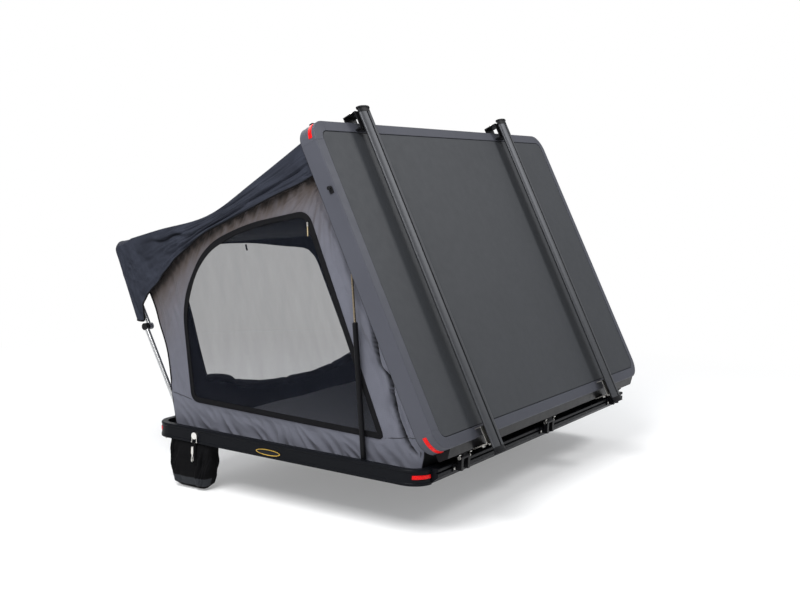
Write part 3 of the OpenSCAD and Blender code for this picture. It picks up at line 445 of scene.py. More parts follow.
# %% [markdown]
# Tent cloth is a plain weave with a heavier thread every few millimetres against tearing. Each
# sewn piece carries a UV map in metres, so the threads follow the cloth through its folds. A piece
# can also carry painted shade, point by point, as a colour that darkens its folds and the cloth
# under the awning's hem.

# %% Woven cloth
THREAD_PITCH = 0.0016
RIPSTOP_PITCH = 0.007
RIPSTOP_SHARE = 0.16
THREAD_SHADE = 0.18


def thread_height(f, cloth_uv):
    """Threads of both directions, with the heavy ones standing above the rest."""
    height = None
    axes = f.axes(cloth_uv)
    for along in (axes["X"], axes["Y"]):
        thread = f.math("SINE", f.math("MULTIPLY", along, 2 * math.pi / THREAD_PITCH), 0.0)
        cell = f.math("FRACT", f.math("DIVIDE", along, RIPSTOP_PITCH), 0.0)
        heavy = f.math("LESS_THAN", cell, RIPSTOP_SHARE)
        rise = f.math("ADD", f.math("MULTIPLY", thread, 0.35), heavy)
        height = rise if height is None else f.math("MAXIMUM", height, rise)
    return height


def woven(name, colour, rough, sheen=0.25, blotch=0.16, shine=0.25, with_painted_shade=False, crumple=0.0):
    f = Finish(name)
    cloth_uv = f.place(source="UV")
    height = thread_height(f, cloth_uv)
    clouds = f.noise(9.0, 6.0, 0.6, cloth_uv)
    base = f.ramp(clouds, (0.28, shade(colour, 1 - blotch)), (0.72, shade(colour, 1 + blotch)))
    threads = f.ramp(height, (0.0, (0.55, 0.55, 0.55)), (1.0, (1, 1, 1)))
    tint = f.times(base, threads, THREAD_SHADE)
    # Multiplies in the piece's painted shade, kept as a colour for each point
    if with_painted_shade:
        painted_shade_colour = f.node("Attribute")
        painted_shade_colour.attribute_name = "painted_shade"
        tint = f.times(tint, painted_shade_colour.outputs["Color"], 1.0)
    f.colour(tint)
    f.roughness(f.spread(f.noise(40.0, 3.0, 0.5, cloth_uv), rough - 0.06, rough + 0.08))
    if crumple:
        crinkles = f.noise(38.0, 5.0, 0.6, cloth_uv)
        height = f.math("ADD", height, f.math("MULTIPLY", crinkles, crumple))
    f.bump(height, 0.25, 0.0003)
    f.set(Sheen_Weight=sheen, Sheen_Roughness=0.5, Specular_IOR_Level=shine)
    return f.material


canvas_grey = woven("canvas_grey", (0.104, 0.107, 0.130), 0.82, 0.06, 0.07)
canvas_wall = woven("canvas_wall", (0.106, 0.109, 0.134), 0.82, 0.06, 0.07, with_painted_shade=True, crumple=10.0)
# Dark cloth: on the inner sides of the walls it is painted shade for the inside of the tent; the seams and the
# rolled flap use it too
dark_cloth_and_painted_shade = woven("dark_cloth_and_painted_shade", (0.024, 0.024, 0.028), 0.85, 0.0, 0.10)
fly_navy = woven("fly_navy", (0.0262, 0.0290, 0.0395), 0.72, 0.0, 0.30, 0.03, True, 40.0)
# Black for the lid's lining and the inner roof's inside, and painted shade on the front strip's outer side
black_lining_and_painted_shade = woven("black_lining_and_painted_shade", (0.010, 0.010, 0.011), 0.85, 0.0, 0.10)
binding_black = woven("binding_black", (0.006, 0.006, 0.007), 0.8, 0.0, 0.16, 0.08)
bag_black = woven("bag_black", (0.004, 0.004, 0.0045), 0.75, 0.0, 0.16, 0.05)
bedding_grey = woven("bedding_grey", (0.070, 0.072, 0.086), 0.9, 0.10)
band_grey = woven("band_grey", (0.026, 0.028, 0.032), 0.7, 0.0, 0.16, 0.1)
print("cloths with a heavy thread every", RIPSTOP_PITCH, "m")

# %% [markdown]
# Insect net is mostly air. Its holes are far smaller than a pixel, so modelled threads would only
# flicker. The cloth is a thin dark veil instead: a black shader that lets part of the light straight
# through. Where it is a little slack it looks denser, in faint slanting streaks.

# %% Net
NET_COVER, NET_UNEVEN = 0.42, 0.05


def insect_net(name):
    f = Finish(name)
    threads = f.noise(700.0, 1.0, 0.5, f.place(source="UV"))
    f.colour(f.ramp(threads, (0.3, (0.006, 0.008, 0.013)), (0.7, (0.012, 0.014, 0.023))))
    streaks = f.noise(2.2, 4.0, 0.6, f.place((7, 1.2, 1), (0, 0, 0.35), "UV"))
    cover = f.spread(streaks, NET_COVER - NET_UNEVEN, NET_COVER + NET_UNEVEN)
    f.join(cover, f.shader.inputs["Alpha"])
    f.set(Roughness=0.8, Specular_IOR_Level=0.1)
    f.material.surface_render_method = "BLENDED"
    return f.material


window_net = insect_net("window_net")
print("net covers", NET_COVER)

# %% [markdown]
# ## The solid parts
# The packed nodes keep their shape, so this step is only paint. Each node gets the finish of its
# record slot, and smooth shading up to an angle that leaves the real edges sharp. The lid's lining
# is cloth and the bars' feet have their own metal, so these two are set after the rest.

# %% Finishes on the packed nodes
SLOT_FINISH = {
    "tray_frame": tray_black,
    "tray_floor": floor_grey,
    "lid_shell": shell_paint,
    "lid_panel": panel_grain,
    "black_steel": hinge_black,
    "stainless": stainless,
    "bar_alloy": bar_alloy,
    "black_plastic": moulded_black,
    "reflector": reflector_red,
    "seal_rubber": seal_black,
    "pole_alloy": pole_alloy,
    "rod_steel": rod_steel,
    "canvas": canvas_grey,
    "fly_cloth": fly_navy,
    "net": window_net,
    "bedding": bedding_grey,
    "bag_cloth": bag_black,
}
SMOOTH_BELOW = math.radians(32)


def finish_node(node, material):
    mesh = nodes[node].data
    mesh.materials.clear()
    mesh.materials.append(material)
    deselect()
    nodes[node].select_set(True)
    bpy.context.view_layer.objects.active = nodes[node]
    bpy.ops.object.shade_smooth_by_angle(angle=SMOOTH_BELOW)


for entry in frame["record"]["subparts"]:
    finish_node(entry["node"], SLOT_FINISH[entry["material_slot"]])
finish_node("lid_lining", black_lining_and_painted_shade)
finish_node("bar_feet", foot_steel)
print("finished nodes", len(nodes))

# %% [markdown]
# ## Where the lid is
# The fabric hangs from the lid, so its outlines are easiest to give in the lid's own measure:
# a distance from the hinge side along the lid, and a height above its lip. The hinge joint says
# where the pin is and how far the lid is turned.

# %% Points on the lid
HINGE = next(j for j in frame["joints"] if j["name"] == "lid_hinge")
PIN_Y, PIN_Z = HINGE["pos_m"][1], HINGE["pos_m"][2]
LID_OPEN = math.radians(-HINGE["range_deg"][0])
PIN_AHEAD = 0.048
PIN_ABOVE = 0.017


def lid_point(along, above):
    """(y, z) of a point of the open lid."""
    dy = along + PIN_AHEAD
    dz = above - PIN_ABOVE
    return Vector((PIN_Y + dy * math.cos(LID_OPEN) - dz * math.sin(LID_OPEN),
                   PIN_Z + dy * math.sin(LID_OPEN) + dz * math.cos(LID_OPEN)))


print("lid's lip starts at", lid_point(0.0, 0.0))

# %% [markdown]
# When the real lid shuts, the cloth is tucked in and lies in folds under it. A cloth simulation of
# that would differ at every angle. So the cloth only rides on the lid: it becomes part of the lid's
# body and gets a mesh of its own, and it keeps its shape as the hinge turns.

# %% Cloth that rides on the lid
FOLD_ALONG, FOLD_HEIGHT, FOLD_KEEP = 0.7, 0.0545, 0.003


def folds_into_lid(piece, along=FOLD_ALONG, above=FOLD_HEIGHT, tilt=0.0, keep=FOLD_KEEP):
    """Cloth that rides on the lid: it becomes part of the lid's body and gets a mesh of its own."""
    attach(piece, "lid")
    y, z = lid_point(along, above)
    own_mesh(piece)


print("folded cloth keeps", FOLD_KEEP, "of its depth")

# %% [markdown]
# ## Lines of the tent
# A tent is cut from outlines. Straight runs with rounded corners make the window and the doorway,
# and smooth lines through a few points make the roof, the hems and the edges. Curve objects could
# do it too, but plain points can be measured and offset by the next steps.

# %% Outlines from a few points
def round_corners(corners, steps=8):
    """A closed outline from (point, size of the rounding) pairs."""
    outline = []
    for i, (p, r) in enumerate(corners):
        before = corners[i - 1][0]
        after = corners[(i + 1) % len(corners)][0]
        a = p + (before - p).normalized() * r
        b = p + (after - p).normalized() * r
        for k in range(steps + 1):
            t = k / steps
            outline.append(a * (1 - t) ** 2 + p * 2 * t * (1 - t) + b * t * t)
    return outline


def smooth_chain(points, steps=10):
    """A smooth line through the points."""
    line = []
    for i in range(len(points) - 1):
        p0 = points[max(i - 1, 0)]
        p1, p2 = points[i], points[i + 1]
        p3 = points[min(i + 2, len(points) - 1)]
        for k in range(steps):
            t = k / steps
            line.append(0.5 * (2 * p1 + (p2 - p0) * t + (2 * p0 - 5 * p1 + 4 * p2 - p3) * t ** 2
                               + (3 * p1 - p0 - 3 * p2 + p3) * t ** 3))
    line.append(points[-1])
    return line


def chain(pairs, steps):
    return smooth_chain([Vector(pair) for pair in pairs], steps)


def along_line(line, share):
    at = min(max(share, 0.0), 1.0) * (len(line) - 1)
    i = min(int(at), len(line) - 2)
    return line[i].lerp(line[i + 1], at - i)


print("a unit square, rounded, has",
      len(round_corners([(Vector(c), 0.1) for c in ((0, 0), (1, 0), (1, 1), (0, 1))])), "points")

# %% [markdown]
# The side wall stands on the tray's floor, follows the lid at the front and the bow at the back,
# and ends under the awning. The roof line drops from the lid to a low point and runs out to the bow.
# The awning's hem runs below it. All are given as (y, z) in metres.

# %% Roof, edges and hem
WALL_X = 0.968
FOOT_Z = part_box("base_floor")[1].z + 0.0005
BOW_PIVOT = Vector((0.618, 0.078))
BOW_LEAN = math.radians(61)
BOW_LENGTH = 0.830
BOW_TIP = BOW_PIVOT + BOW_LENGTH * Vector((math.cos(BOW_LEAN), math.sin(BOW_LEAN)))
ROOF_START = lid_point(1.344, 0.0475)
ROOF_LOW = Vector((0.44, 0.968))
ROOF_LINE = smooth_chain([ROOF_START, ROOF_START.lerp(ROOF_LOW, 0.55) + Vector((0, -0.008)), ROOF_LOW,
                          ROOF_LOW.lerp(BOW_TIP, 0.5) + Vector((0, 0.004)),
                          BOW_TIP + Vector((-0.045, 0.016))])
FRONT_FOOT = Vector((-0.651, FOOT_Z))
REAR_FOOT = Vector((0.615, FOOT_Z))
REAR_EDGE = chain((REAR_FOOT, (0.644, 0.154), (0.677, 0.360), (0.726, 0.487), (0.769, 0.591),
                   (0.890, 0.790)), 6)
HEM_LINE = chain((lid_point(1.195, -0.004), (-0.083, 1.151), (0.206, 1.022), (0.439, 0.914),
                  (0.599, 0.800), (0.700, 0.700), (0.767, 0.632), (0.812, 0.590), (0.812, 0.500),
                  (0.852, 0.494)), 8)
print("bow tip", BOW_TIP, "roof points", len(ROOF_LINE))

# %% [markdown]
# The window is a six-sided cut with rounded corners. The wall's outline goes once round: along the
# floor, up the rear edge, back under the roof, down the lid and to the floor again.

# %% Window and wall outlines
WINDOW = round_corners([
    (Vector((-0.478, 0.148)), 0.028), (Vector((0.530, 0.166)), 0.040),
    (Vector((0.592, 0.600)), 0.120), (Vector((0.470, 0.850)), 0.120),
    (Vector((0.230, 0.958)), 0.110), (Vector((-0.085, 1.028)), 0.055)])
WINDOW_CENTRE = Vector((0.15, 0.55))
WALL_DROP = Vector((0, -0.022))
WALL_ROOF_END = 0.88
WALL_ON_LID = (1.27, 0.14)
LINING_HEIGHT = 0.047


def wall_outline():
    foot = [FRONT_FOOT.lerp(REAR_FOOT, k / 12) for k in range(12)]
    roof = [p + WALL_DROP for p in reversed(ROOF_LINE) if p.x < WALL_ROOF_END]
    far, near = WALL_ON_LID
    lid_side = [lid_point(far - (far - near) * k / 30, LINING_HEIGHT) for k in range(31)]
    corner = [lid_side[-1].lerp(FRONT_FOOT, k / 6) for k in range(1, 6)]
    return foot + REAR_EDGE + roof + lid_side + corner


WALL_EDGE = wall_outline()
print("wall outline points", len(WALL_EDGE), "window points", len(WINDOW))

# %% [markdown]
# ## Cloth as a mesh
# A sheet of cloth is a grid of points with a flat pattern as its UV map. A plane that is subdivided
# and pushed about would have ragged holes. Grids that follow the outlines have clean edges, and
# a Solidify modifier then gives them their thickness, with the lining on the inner side.

# %% Sheets
def grid_faces(columns, rows, closed):
    """Quads of a grid whose points run row by row inside each column."""
    faces = []
    last = columns if closed else columns - 1
    for i in range(last):
        j = (i + 1) % columns
        for k in range(rows - 1):
            faces.append((i * rows + k, i * rows + k + 1, j * rows + k + 1, j * rows + k))
    return faces


def mesh_piece(name, points, faces, material, uv):
    mesh = bpy.data.meshes.new(name)
    mesh.from_pydata([tuple(p) for p in points], [], faces)
    mesh.validate()
    layer = mesh.uv_layers.new(name="cloth")
    for loop in mesh.loops:
        layer.data[loop.index].uv = uv[loop.vertex_index]
    piece = bpy.data.objects.new(name, mesh)
    bpy.context.scene.collection.objects.link(piece)
    mesh.materials.append(material)
    for polygon in mesh.polygons:
        polygon.use_smooth = True
    return piece


def thicken(piece, thickness, offset=0.0, lining=None):
    """Gives a sheet its thickness, with another finish on its inner side if there is one."""
    deselect()
    piece.select_set(True)
    bpy.context.view_layer.objects.active = piece
    solid = piece.modifiers.new("thickness", "SOLIDIFY")
    solid.thickness = thickness
    solid.offset = offset
    if lining:
        piece.data.materials.append(lining)
        solid.material_offset = len(piece.data.materials) - 1
    bpy.ops.object.modifier_apply(modifier=solid.name)


def faces_out(piece, direction):
    """Turns a sheet's faces so that they look the given way."""
    look = sum((p.normal * p.area for p in piece.data.polygons), Vector())
    if look.dot(Vector(direction)) < 0:
        piece.data.flip_normals()


def cloth_area(points, faces):
    total = 0.0
    for face in faces:
        p = [Vector(points[i]) for i in face]
        for i in range(1, len(p) - 1):
            total += (p[i] - p[0]).cross(p[i + 1] - p[0]).length / 2
    return total


WALL_THICK, THIN_CLOTH, TAPE_THICK = 0.0016, 0.0014, 0.0012
print("cloth is", WALL_THICK, "m thick")

# %% [markdown]
# A tent wall is a flat cut with a hole for its window. The mesh is a band of quads between the
# hole and the edge, so both are clean lines. Each ray from a point inside the window gives one
# row: it starts where it meets the window and ends where it meets the edge.

# %% Bands between two outlines
def ray_hit(outline, centre, angle):
    """How far the outline is from the centre in that direction."""
    d = Vector((math.cos(angle), math.sin(angle)))
    best = None
    for a, b in zip(outline, outline[1:] + outline[:1]):
        e = b - a
        cross = d.x * e.y - d.y * e.x
        if abs(cross) < 1e-12:
            continue
        w = a - centre
        far = (w.x * e.y - w.y * e.x) / cross
        share = (w.x * d.y - w.y * d.x) / cross
        if far > 0 and -1e-9 <= share <= 1 + 1e-9 and (best is None or far > best):
            best = far
    return best


def band(inner, outer, centre, rays, rows):
    """Rows of points from the inner outline to the outer one, ray by ray."""
    corners = [math.atan2(p.y - centre.y, p.x - centre.x) for p in outer]
    angles = sorted({round(a, 5) for a in corners}
                    | {round(-math.pi + 2 * math.pi * i / rays, 5) for i in range(rays)})
    grid = []
    for angle in angles:
        d = Vector((math.cos(angle), math.sin(angle)))
        near = ray_hit(inner, centre, angle)
        far = ray_hit(outer, centre, angle)
        grid.append([centre + d * (near + (far - near) * k / rows) for k in range(rows + 1)])
    return grid


print("window is", round(ray_hit(WINDOW, WINDOW_CENTRE, 0.0), 3), "m from its middle to its rear edge")

# %% [markdown]
# ## Side walls
# The cloth is cut a little larger than its frame, so it isn't flat. Gathers could come from a cloth
# simulation, but they must lie where the photograph has them, so they are drawn. Three shapes make
# them: noise stretched along a slanting direction, a ridge that sharpens it, and a bell that fades it.

# %% Shapes of creases
def crease(y, z, size, lean, stretch, seed):
    """Soft ridges along a slanting direction."""
    c, s = math.cos(lean), math.sin(lean)
    along = (y * c + z * s) / (size * stretch)
    across = (-y * s + z * c) / size
    return noise.noise(Vector((along, across, seed)))


def ridge(value):
    """Turns a soft wave into a sharp fold."""
    return 1 - 2 * min(abs(value) * 1.6, 1)


def bell(value, middle, width):
    return math.exp(-((value - middle) / width) ** 2)


def between(value, low, high):
    return min(max(value, low), high)


print("ridge of a flat wave", ridge(0.0), "bell at its width", round(bell(1.0, 0.0, 1.0), 3))

# %% [markdown]
# Along the lid the cloth is gathered into one deep fold with softer ones on both sides. The deep
# fold's line is given by its distance from the hinge along the lid's lip and its distance from the
# lip. The others wander about lines that run beside the lip.

# %% Gathers along the lid
LID_FOOT = lid_point(0.0, 0.0)
LID_EDGE = (lid_point(1.0, 0.0) - LID_FOOT).normalized()
CREASE_LINE = chain(((0.64, 0.036), (0.55, 0.052), (0.47, 0.075), (0.40, 0.086), (0.352, 0.067),
                     (0.31, 0.067), (0.26, 0.087), (0.18, 0.095), (0.09, 0.098), (0.02, 0.072)), 4)
DEEP_FOLD = 0.048
DEEP_WIDTH, DEEP_UNEVEN = 0.0080, 0.0045
DEEP_FROM, DEEP_TO = 0.01, 0.63
FADE_FROM, FADE_TO = 0.06, 0.12
LOW_FOLD = (0.016, -0.022, 0.008, 0.006, 0.15, 0.12)
SOFT_FOLDS = (
    # depth, place, wander, width, middle of its run, reach of its run
    (0.022, 0.052, 0.024, 0.010, 0.88, 0.26),
    (0.011, 0.108, -0.030, 0.012, 0.45, 0.40),
    (0.006, 0.150, 0.030, 0.020, 0.55, 0.45),
)


def crease_gap(run):
    """How far the deep fold is from the lid's lip at a distance from the hinge."""
    for a, b in zip(CREASE_LINE, CREASE_LINE[1:]):
        if b.x <= run <= a.x:
            return a.y + (b.y - a.y) * (a.x - run) / (a.x - b.x)
    return CREASE_LINE[0].y if run > CREASE_LINE[0].x else CREASE_LINE[-1].y


def deep_fold(run, gap):
    """From 0 to 1: how much a point lies in the deep fold."""
    held = between((DEEP_TO - run) / FADE_TO, 0, 1) * between((run - DEEP_FROM) / FADE_FROM, 0, 1)
    width = DEEP_WIDTH + DEEP_UNEVEN * noise.noise(Vector((run * 14.0, 0.9, 1.0)))
    return held * bell(gap, crease_gap(run), width)


def lid_place(p):
    """A wall point's distance along the lid's lip and its distance from the lip."""
    away = p - LID_FOOT
    return away.dot(LID_EDGE), away.x * LID_EDGE.y - away.y * LID_EDGE.x


def lid_gathers(p):
    """The deep fold beside the lid, with softer ones on both of its sides."""
    run, gap = lid_place(p)
    wander = noise.noise(Vector((run * 4.2, 0.3, 4.0))) + 0.5 * noise.noise(Vector((run * 13.0, 0.9, 1.0)))

    def soft(depth, place, swing, width, middle, reach):
        return depth * bell(gap, place + swing * wander, width) * bell(run, middle, reach)

    depth, place, *rest = LOW_FOLD
    total = DEEP_FOLD * deep_fold(run, gap) + soft(depth, crease_gap(run) + place, *rest)
    return -(total + sum(soft(*fold) for fold in SOFT_FOLDS))


print("deep fold is", round(crease_gap(0.4), 3), "m from the lip at 0.4 m from the hinge")

# %% [markdown]
# Under the lid's top corner the cloth fans out in fine pleats, above the tray it has slanting
# creases, and along its rear edge it is strained. The depth of a point is the sum of all of these.
# It fades at the window, where the tape keeps the cloth tight, and over the bow's pivot, which
# would otherwise come through.

# %% Depth of the wall
DEEPEST, HIGHEST = -0.060, 0.007
PIVOT_ROOM, PIVOT_REACH = 0.003, 0.055
WALL_SET_IN = 0.004
WINDOW_TIGHT = 4.0
ROOF_PLEATS, ROOF_FADE = 0.0075, 0.12
FAN_PLEATS, FAN_FADE, FAN_CLEAR = 0.0070, 0.24, 0.05
TRAY_CREASES, TRAY_FADE = 0.0080, 0.10
REAR_STRAIN, REAR_FADE, REAR_FROM = 0.0048, 0.11, 0.66
BROAD_BILLOW, FINE_BILLOW = 0.006, 0.0022
UNDER_ROOF = dict(size=0.018, lean=1.95, stretch=6.0, seed=3.1)
ABOVE_TRAY = dict(size=0.034, lean=0.75, stretch=4.0, seed=1.7)
AT_REAR = dict(size=0.032, lean=1.30, stretch=7.0, seed=7.7)
BROAD = dict(size=0.25, lean=0.5, stretch=1.6, seed=9.1)
FINE = dict(size=0.030, lean=1.1, stretch=3.0, seed=5.5)


def fan_pleats(p):
    """Fine pleats that fan out from the end of the awning's hem."""
    spoke = p - HEM_LINE[0]
    turn = math.atan2(spoke.y, spoke.x)
    fan = math.exp(-spoke.length / FAN_FADE) * min(spoke.length / FAN_CLEAR, 1.0)
    return fan * ridge(noise.noise(Vector((turn * 15.0, spoke.length * 2.0, 2.2))))


def wall_depth(p, share):
    """Outward depth of the cloth at a point, where share runs from the window to the edge."""
    under = min((p - q).length for q in ROOF_LINE[::3])
    pleats = ROOF_PLEATS * math.exp(-under / ROOF_FADE) * ridge(crease(*p, **UNDER_ROOF))
    pleats += FAN_PLEATS * fan_pleats(p)
    low = math.exp(-max(p.y - FOOT_Z, 0) / TRAY_FADE)
    slack = TRAY_CREASES * low * ridge(crease(*p, **ABOVE_TRAY))
    back = math.exp(-max(REAR_FROM - p.x, 0) / REAR_FADE)
    strain = REAR_STRAIN * back * ridge(crease(*p, **AT_REAR))
    billow = BROAD_BILLOW * crease(*p, **BROAD) + FINE_BILLOW * crease(*p, **FINE)
    tight = min(share * WINDOW_TIGHT, 1.0)
    depth = (lid_gathers(p) + pleats + slack + strain + billow - WALL_SET_IN) * tight
    depth += (PIVOT_ROOM - depth) * bell((p - BOW_PIVOT).length, 0, PIVOT_REACH)
    return between(depth, DEEPEST, HIGHEST)


print("depth over the bow's pivot", round(wall_depth(BOW_PIVOT, 1.0), 4))

# %% [markdown]
# The cloth gets painted shade that follows the folds: brown and dark under the awning's hem,
# where the hem shades the wall, and black in the deep fold beside the lid. It is kept as a colour
# for each point, which the cloth's material multiplies with its own.

# %% Painted shade of the wall
PAINTED_SHADE_UNDER_HEM, PAINTED_SHADOW_UNDER_HEM = (0.72, 0.53, 0.37), (0.16, 0.12, 0.09)
PAINTED_PLEAT_SHADE, PAINTED_FOLD_SHADE = (0.40, 0.32, 0.26), (0.05, 0.05, 0.05)
HEM_ON_WALL = HEM_LINE[:64:2]
BROWN_FADE, DARK_FADE = 0.095, 0.034
BROWN_MOST, DARK_MOST, PLEAT_MOST = 1.25, 1.4, 1.1
SHADE_UNEVEN = 0.35
BLACK_FROM, BLACK_RANGE = 0.18, 0.30
UNEVEN_SHADE = dict(size=0.016, lean=1.95, stretch=7.0, seed=3.1)


def mixed(first, second, share):
    return tuple(a + (b - a) * share for a, b in zip(first, second))


def wall_painted_shade(co):
    """Painted shade: brown and dark under the awning's hem, black in the deep fold beside the lid."""
    p = Vector((co.y, co.z))
    below = min((p - q).length for q in HEM_ON_WALL)
    uneven = 1 + SHADE_UNEVEN * crease(*p, **UNEVEN_SHADE)
    tint = mixed((1, 1, 1), PAINTED_SHADE_UNDER_HEM, min(BROWN_MOST * uneven * math.exp(-below / BROWN_FADE), 1))
    tint = mixed(tint, PAINTED_SHADOW_UNDER_HEM, min(DARK_MOST * uneven * math.exp(-below / DARK_FADE), 1))
    tint = mixed(tint, PAINTED_PLEAT_SHADE, between(-PLEAT_MOST * fan_pleats(p), 0, 1))
    fold = deep_fold(*lid_place(p))
    return mixed(tint, PAINTED_FOLD_SHADE, between((fold - BLACK_FROM) / BLACK_RANGE, 0, 1))


def give_painted_shade(piece, tints):
    layer = piece.data.attributes.new("painted_shade", "FLOAT_COLOR", "POINT")
    for value, tint in zip(layer.data, tints):
        value.color = (*tint, 1)


print("tint beside the bow's pivot", wall_painted_shade(Vector((WALL_X, *BOW_PIVOT))))

# %% [markdown]
# Each wall is now one band of quads between the window and the wall's outline. Its points are
# pushed out by their depth and given their painted shade, and the sheet is thickened inwards with
# an inner side painted dark for the shade inside the tent. The right wall is worked out like the
# left one instead of being mirrored, so its faces point outwards.

# %% Side walls
SIDES = ((-1, "left"), (1, "right"))
WALL_RAYS, WALL_ROWS = 720, 40


def side_wall(side, label):
    grid = band(WINDOW, WALL_EDGE, WINDOW_CENTRE, WALL_RAYS, WALL_ROWS)
    points = []
    uv = []
    for column in grid:
        for k, p in enumerate(column):
            depth = wall_depth(p, k / WALL_ROWS)
            points.append((side * (WALL_X + depth), p.x, p.y))
            uv.append((p.x, p.y))
    faces = grid_faces(len(grid), WALL_ROWS + 1, True)
    area = cloth_area(points, faces)
    piece = mesh_piece("wall_cloth_" + label, points, faces, canvas_wall, uv)
    faces_out(piece, (side, 0, 0))
    give_painted_shade(piece, [wall_painted_shade(v.co) for v in piece.data.vertices])
    thicken(piece, WALL_THICK, -1.0, dark_cloth_and_painted_shade)
    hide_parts("side_wall_" + label)
    folds_into_lid(piece)
    return piece


walls = [side_wall(*side) for side in SIDES]
print("walls", [len(w.data.polygons) for w in walls])

# %% [markdown]
# The net fills the window in one sheet. It hangs a touch slack, so it bows inwards at its middle.
# Rings of points that shrink from the outline to its middle fill any rounded hole, where a plain
# face with many corners would shade badly and couldn't sag.

# %% Window nets
NET_RINGS = 14
NET_SAG, NET_REACH = 0.008, 0.6
NET_RIPPLE = 0.002
NET_CREASE = dict(size=0.12, lean=0.7, stretch=3.0, seed=2.0)


def without_doubles(outline):
    kept = []
    for p in outline:
        if not kept or (p - kept[-1]).length > 1e-5:
            kept.append(p)
    if (kept[0] - kept[-1]).length < 1e-5:
        kept.pop()
    return kept


def filled(outline, centre, rings):
    """Points and faces of a sheet that fills an outline, ring by ring towards its centre."""
    points = [centre.lerp(q, 1 - k / rings) for k in range(rings) for q in outline]
    n = len(outline)
    faces = [(k * n + i, k * n + (i + 1) % n, (k + 1) * n + (i + 1) % n, (k + 1) * n + i)
             for k in range(rings - 1) for i in range(n)]
    points.append(centre)
    last = (rings - 1) * n
    faces += [(last + i, last + (i + 1) % n, len(points) - 1) for i in range(n)]
    return points, faces


def window_sheet(side, label, wall):
    flat, faces = filled(without_doubles(WINDOW), WINDOW_CENTRE, NET_RINGS)
    points = []
    for p in flat:
        slack = max(1 - (p - WINDOW_CENTRE).length / NET_REACH, 0)
        sag = NET_SAG * slack + NET_RIPPLE * crease(*p, **NET_CREASE)
        points.append((side * (WALL_X - sag), p.x, p.y))
    piece = mesh_piece("window_net_" + label, points, faces, window_net, [(p.x, p.y) for p in flat])
    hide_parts("window_mesh_" + label)
    area = cloth_area(points, faces)
    folds_into_lid(piece)
    return piece


nets = [window_sheet(*side, wall) for side, wall in zip(SIDES, walls)]
print("window nets", [len(n.data.polygons) for n in nets])

# %% [markdown]
# A black tape binds the window's edge. It is a flat strip that follows the outline, with its
# edges turned down into the cloth and a stitched ridge on each side. A bevelled curve would have
# the same section all round; here the net pulls the tape, so its inner edge isn't quite even.

# %% Tape round an outline
TAPE_PROFILE = ((-0.019, 0.0), (-0.018, 0.0014), (-0.016, 0.0018), (-0.013, 0.0014), (-0.008, 0.0014),
                (-0.005, 0.0018), (-0.001, 0.0022), (0.002, 0.0016), (0.003, 0.0))
TAPE_OFF_WALL = 0.0012
TAPE_UNEVEN = 0.30


def outward(outline, i):
    """Unit normal of a closed outline at a point, away from its inside."""
    a = outline[i - 1]
    b = outline[(i + 1) % len(outline)]
    d = (b - a).normalized()
    return Vector((d.y, -d.x))


def tape(name, outline, place, shift=0.0, uneven=0.0):
    """A strip along an outline, where place gives the spot for a flat point and its rise."""
    line = without_doubles(outline)
    points = []
    uv = []
    length = 0.0
    for i, p in enumerate(line):
        normal = outward(line, i)
        length += (p - line[i - 1]).length if i else 0.0
        pull = 1 + uneven * noise.noise(Vector((p.x * 9, p.y * 9, 3.3)))
        for across, rise in TAPE_PROFILE:
            points.append(place(p + normal * (across + shift) * pull, rise))
            uv.append((length, across))
    faces = grid_faces(len(line), len(TAPE_PROFILE), True)
    piece = mesh_piece(name, points, faces, binding_black, uv)
    thicken(piece, TAPE_THICK)
    folds_into_lid(piece)
    return length


def on_wall(side):
    return lambda q, rise: (side * (WALL_X + TAPE_OFF_WALL + rise), q.x, q.y)


for side, label in SIDES:
    length = tape("window_tape_" + label, WINDOW, on_wall(side), uneven=TAPE_UNEVEN)
    print("window tape", label, round(length, 2), "m")

# %% [markdown]
# A seam joins the skirt to the wall on both sides of the window. It shows as a thin rolled line
# that follows the folds. Rings of points along the seam's path make a tube, and several tubes can
# be one piece, as sewn lines of one thread are.

# %% Skirt seams
SEAM_ENDS = ((Vector((0.640, 0.190)), Vector((0.532, 0.170))),
             (Vector((-0.482, 0.152)), Vector((-0.672, 0.178))))
SEAM_RADIUS, SEAM_STEPS = 0.0013, 40
SEAM_PROUD = 0.0004
TUBE_SIDES = 8


def ring_faces(rings, sides):
    """Quads between rings of points."""
    faces = []
    for i in range(rings - 1):
        for k in range(sides):
            j = (k + 1) % sides
            faces.append((i * sides + k, i * sides + j, (i + 1) * sides + j, (i + 1) * sides + k))
    return faces


def tube(path, size):
    """Points and faces of an open tube along a path."""
    points = []
    for i, p in enumerate(path):
        ahead = (path[min(i + 1, len(path) - 1)] - path[max(i - 1, 0)]).normalized()
        first = (Vector((1, 0, 0)) - ahead * ahead.x).normalized()
        second = ahead.cross(first)
        for k in range(TUBE_SIDES):
            a = 2 * math.pi * k / TUBE_SIDES
            points.append(p + size * (math.cos(a) * first + math.sin(a) * second))
    return points, ring_faces(len(path), TUBE_SIDES)


def tubes(name, paths, size, material):
    """Several cords or piped seams in one piece."""
    points = []
    faces = []
    for path in paths:
        more, links = tube(path, size)
        faces += [tuple(k + len(points) for k in face) for face in links]
        points += more
    return mesh_piece(name, points, faces, material, [(p.x + p.y, p.z) for p in points])


def skirt_seams():
    paths = []
    for side, label in SIDES:
        for a, b in SEAM_ENDS:
            line = [a.lerp(b, k / SEAM_STEPS) for k in range(SEAM_STEPS + 1)]
            outs = [WALL_X + wall_depth(p, 0.5) + SEAM_PROUD for p in line]
            paths.append([Vector((side * out, p.x, p.y)) for out, p in zip(outs, line)])
    piece = tubes("skirt_seams", paths, SEAM_RADIUS, dark_cloth_and_painted_shade)
    folds_into_lid(piece)
    return piece


print("skirt seams", len(skirt_seams().data.polygons))

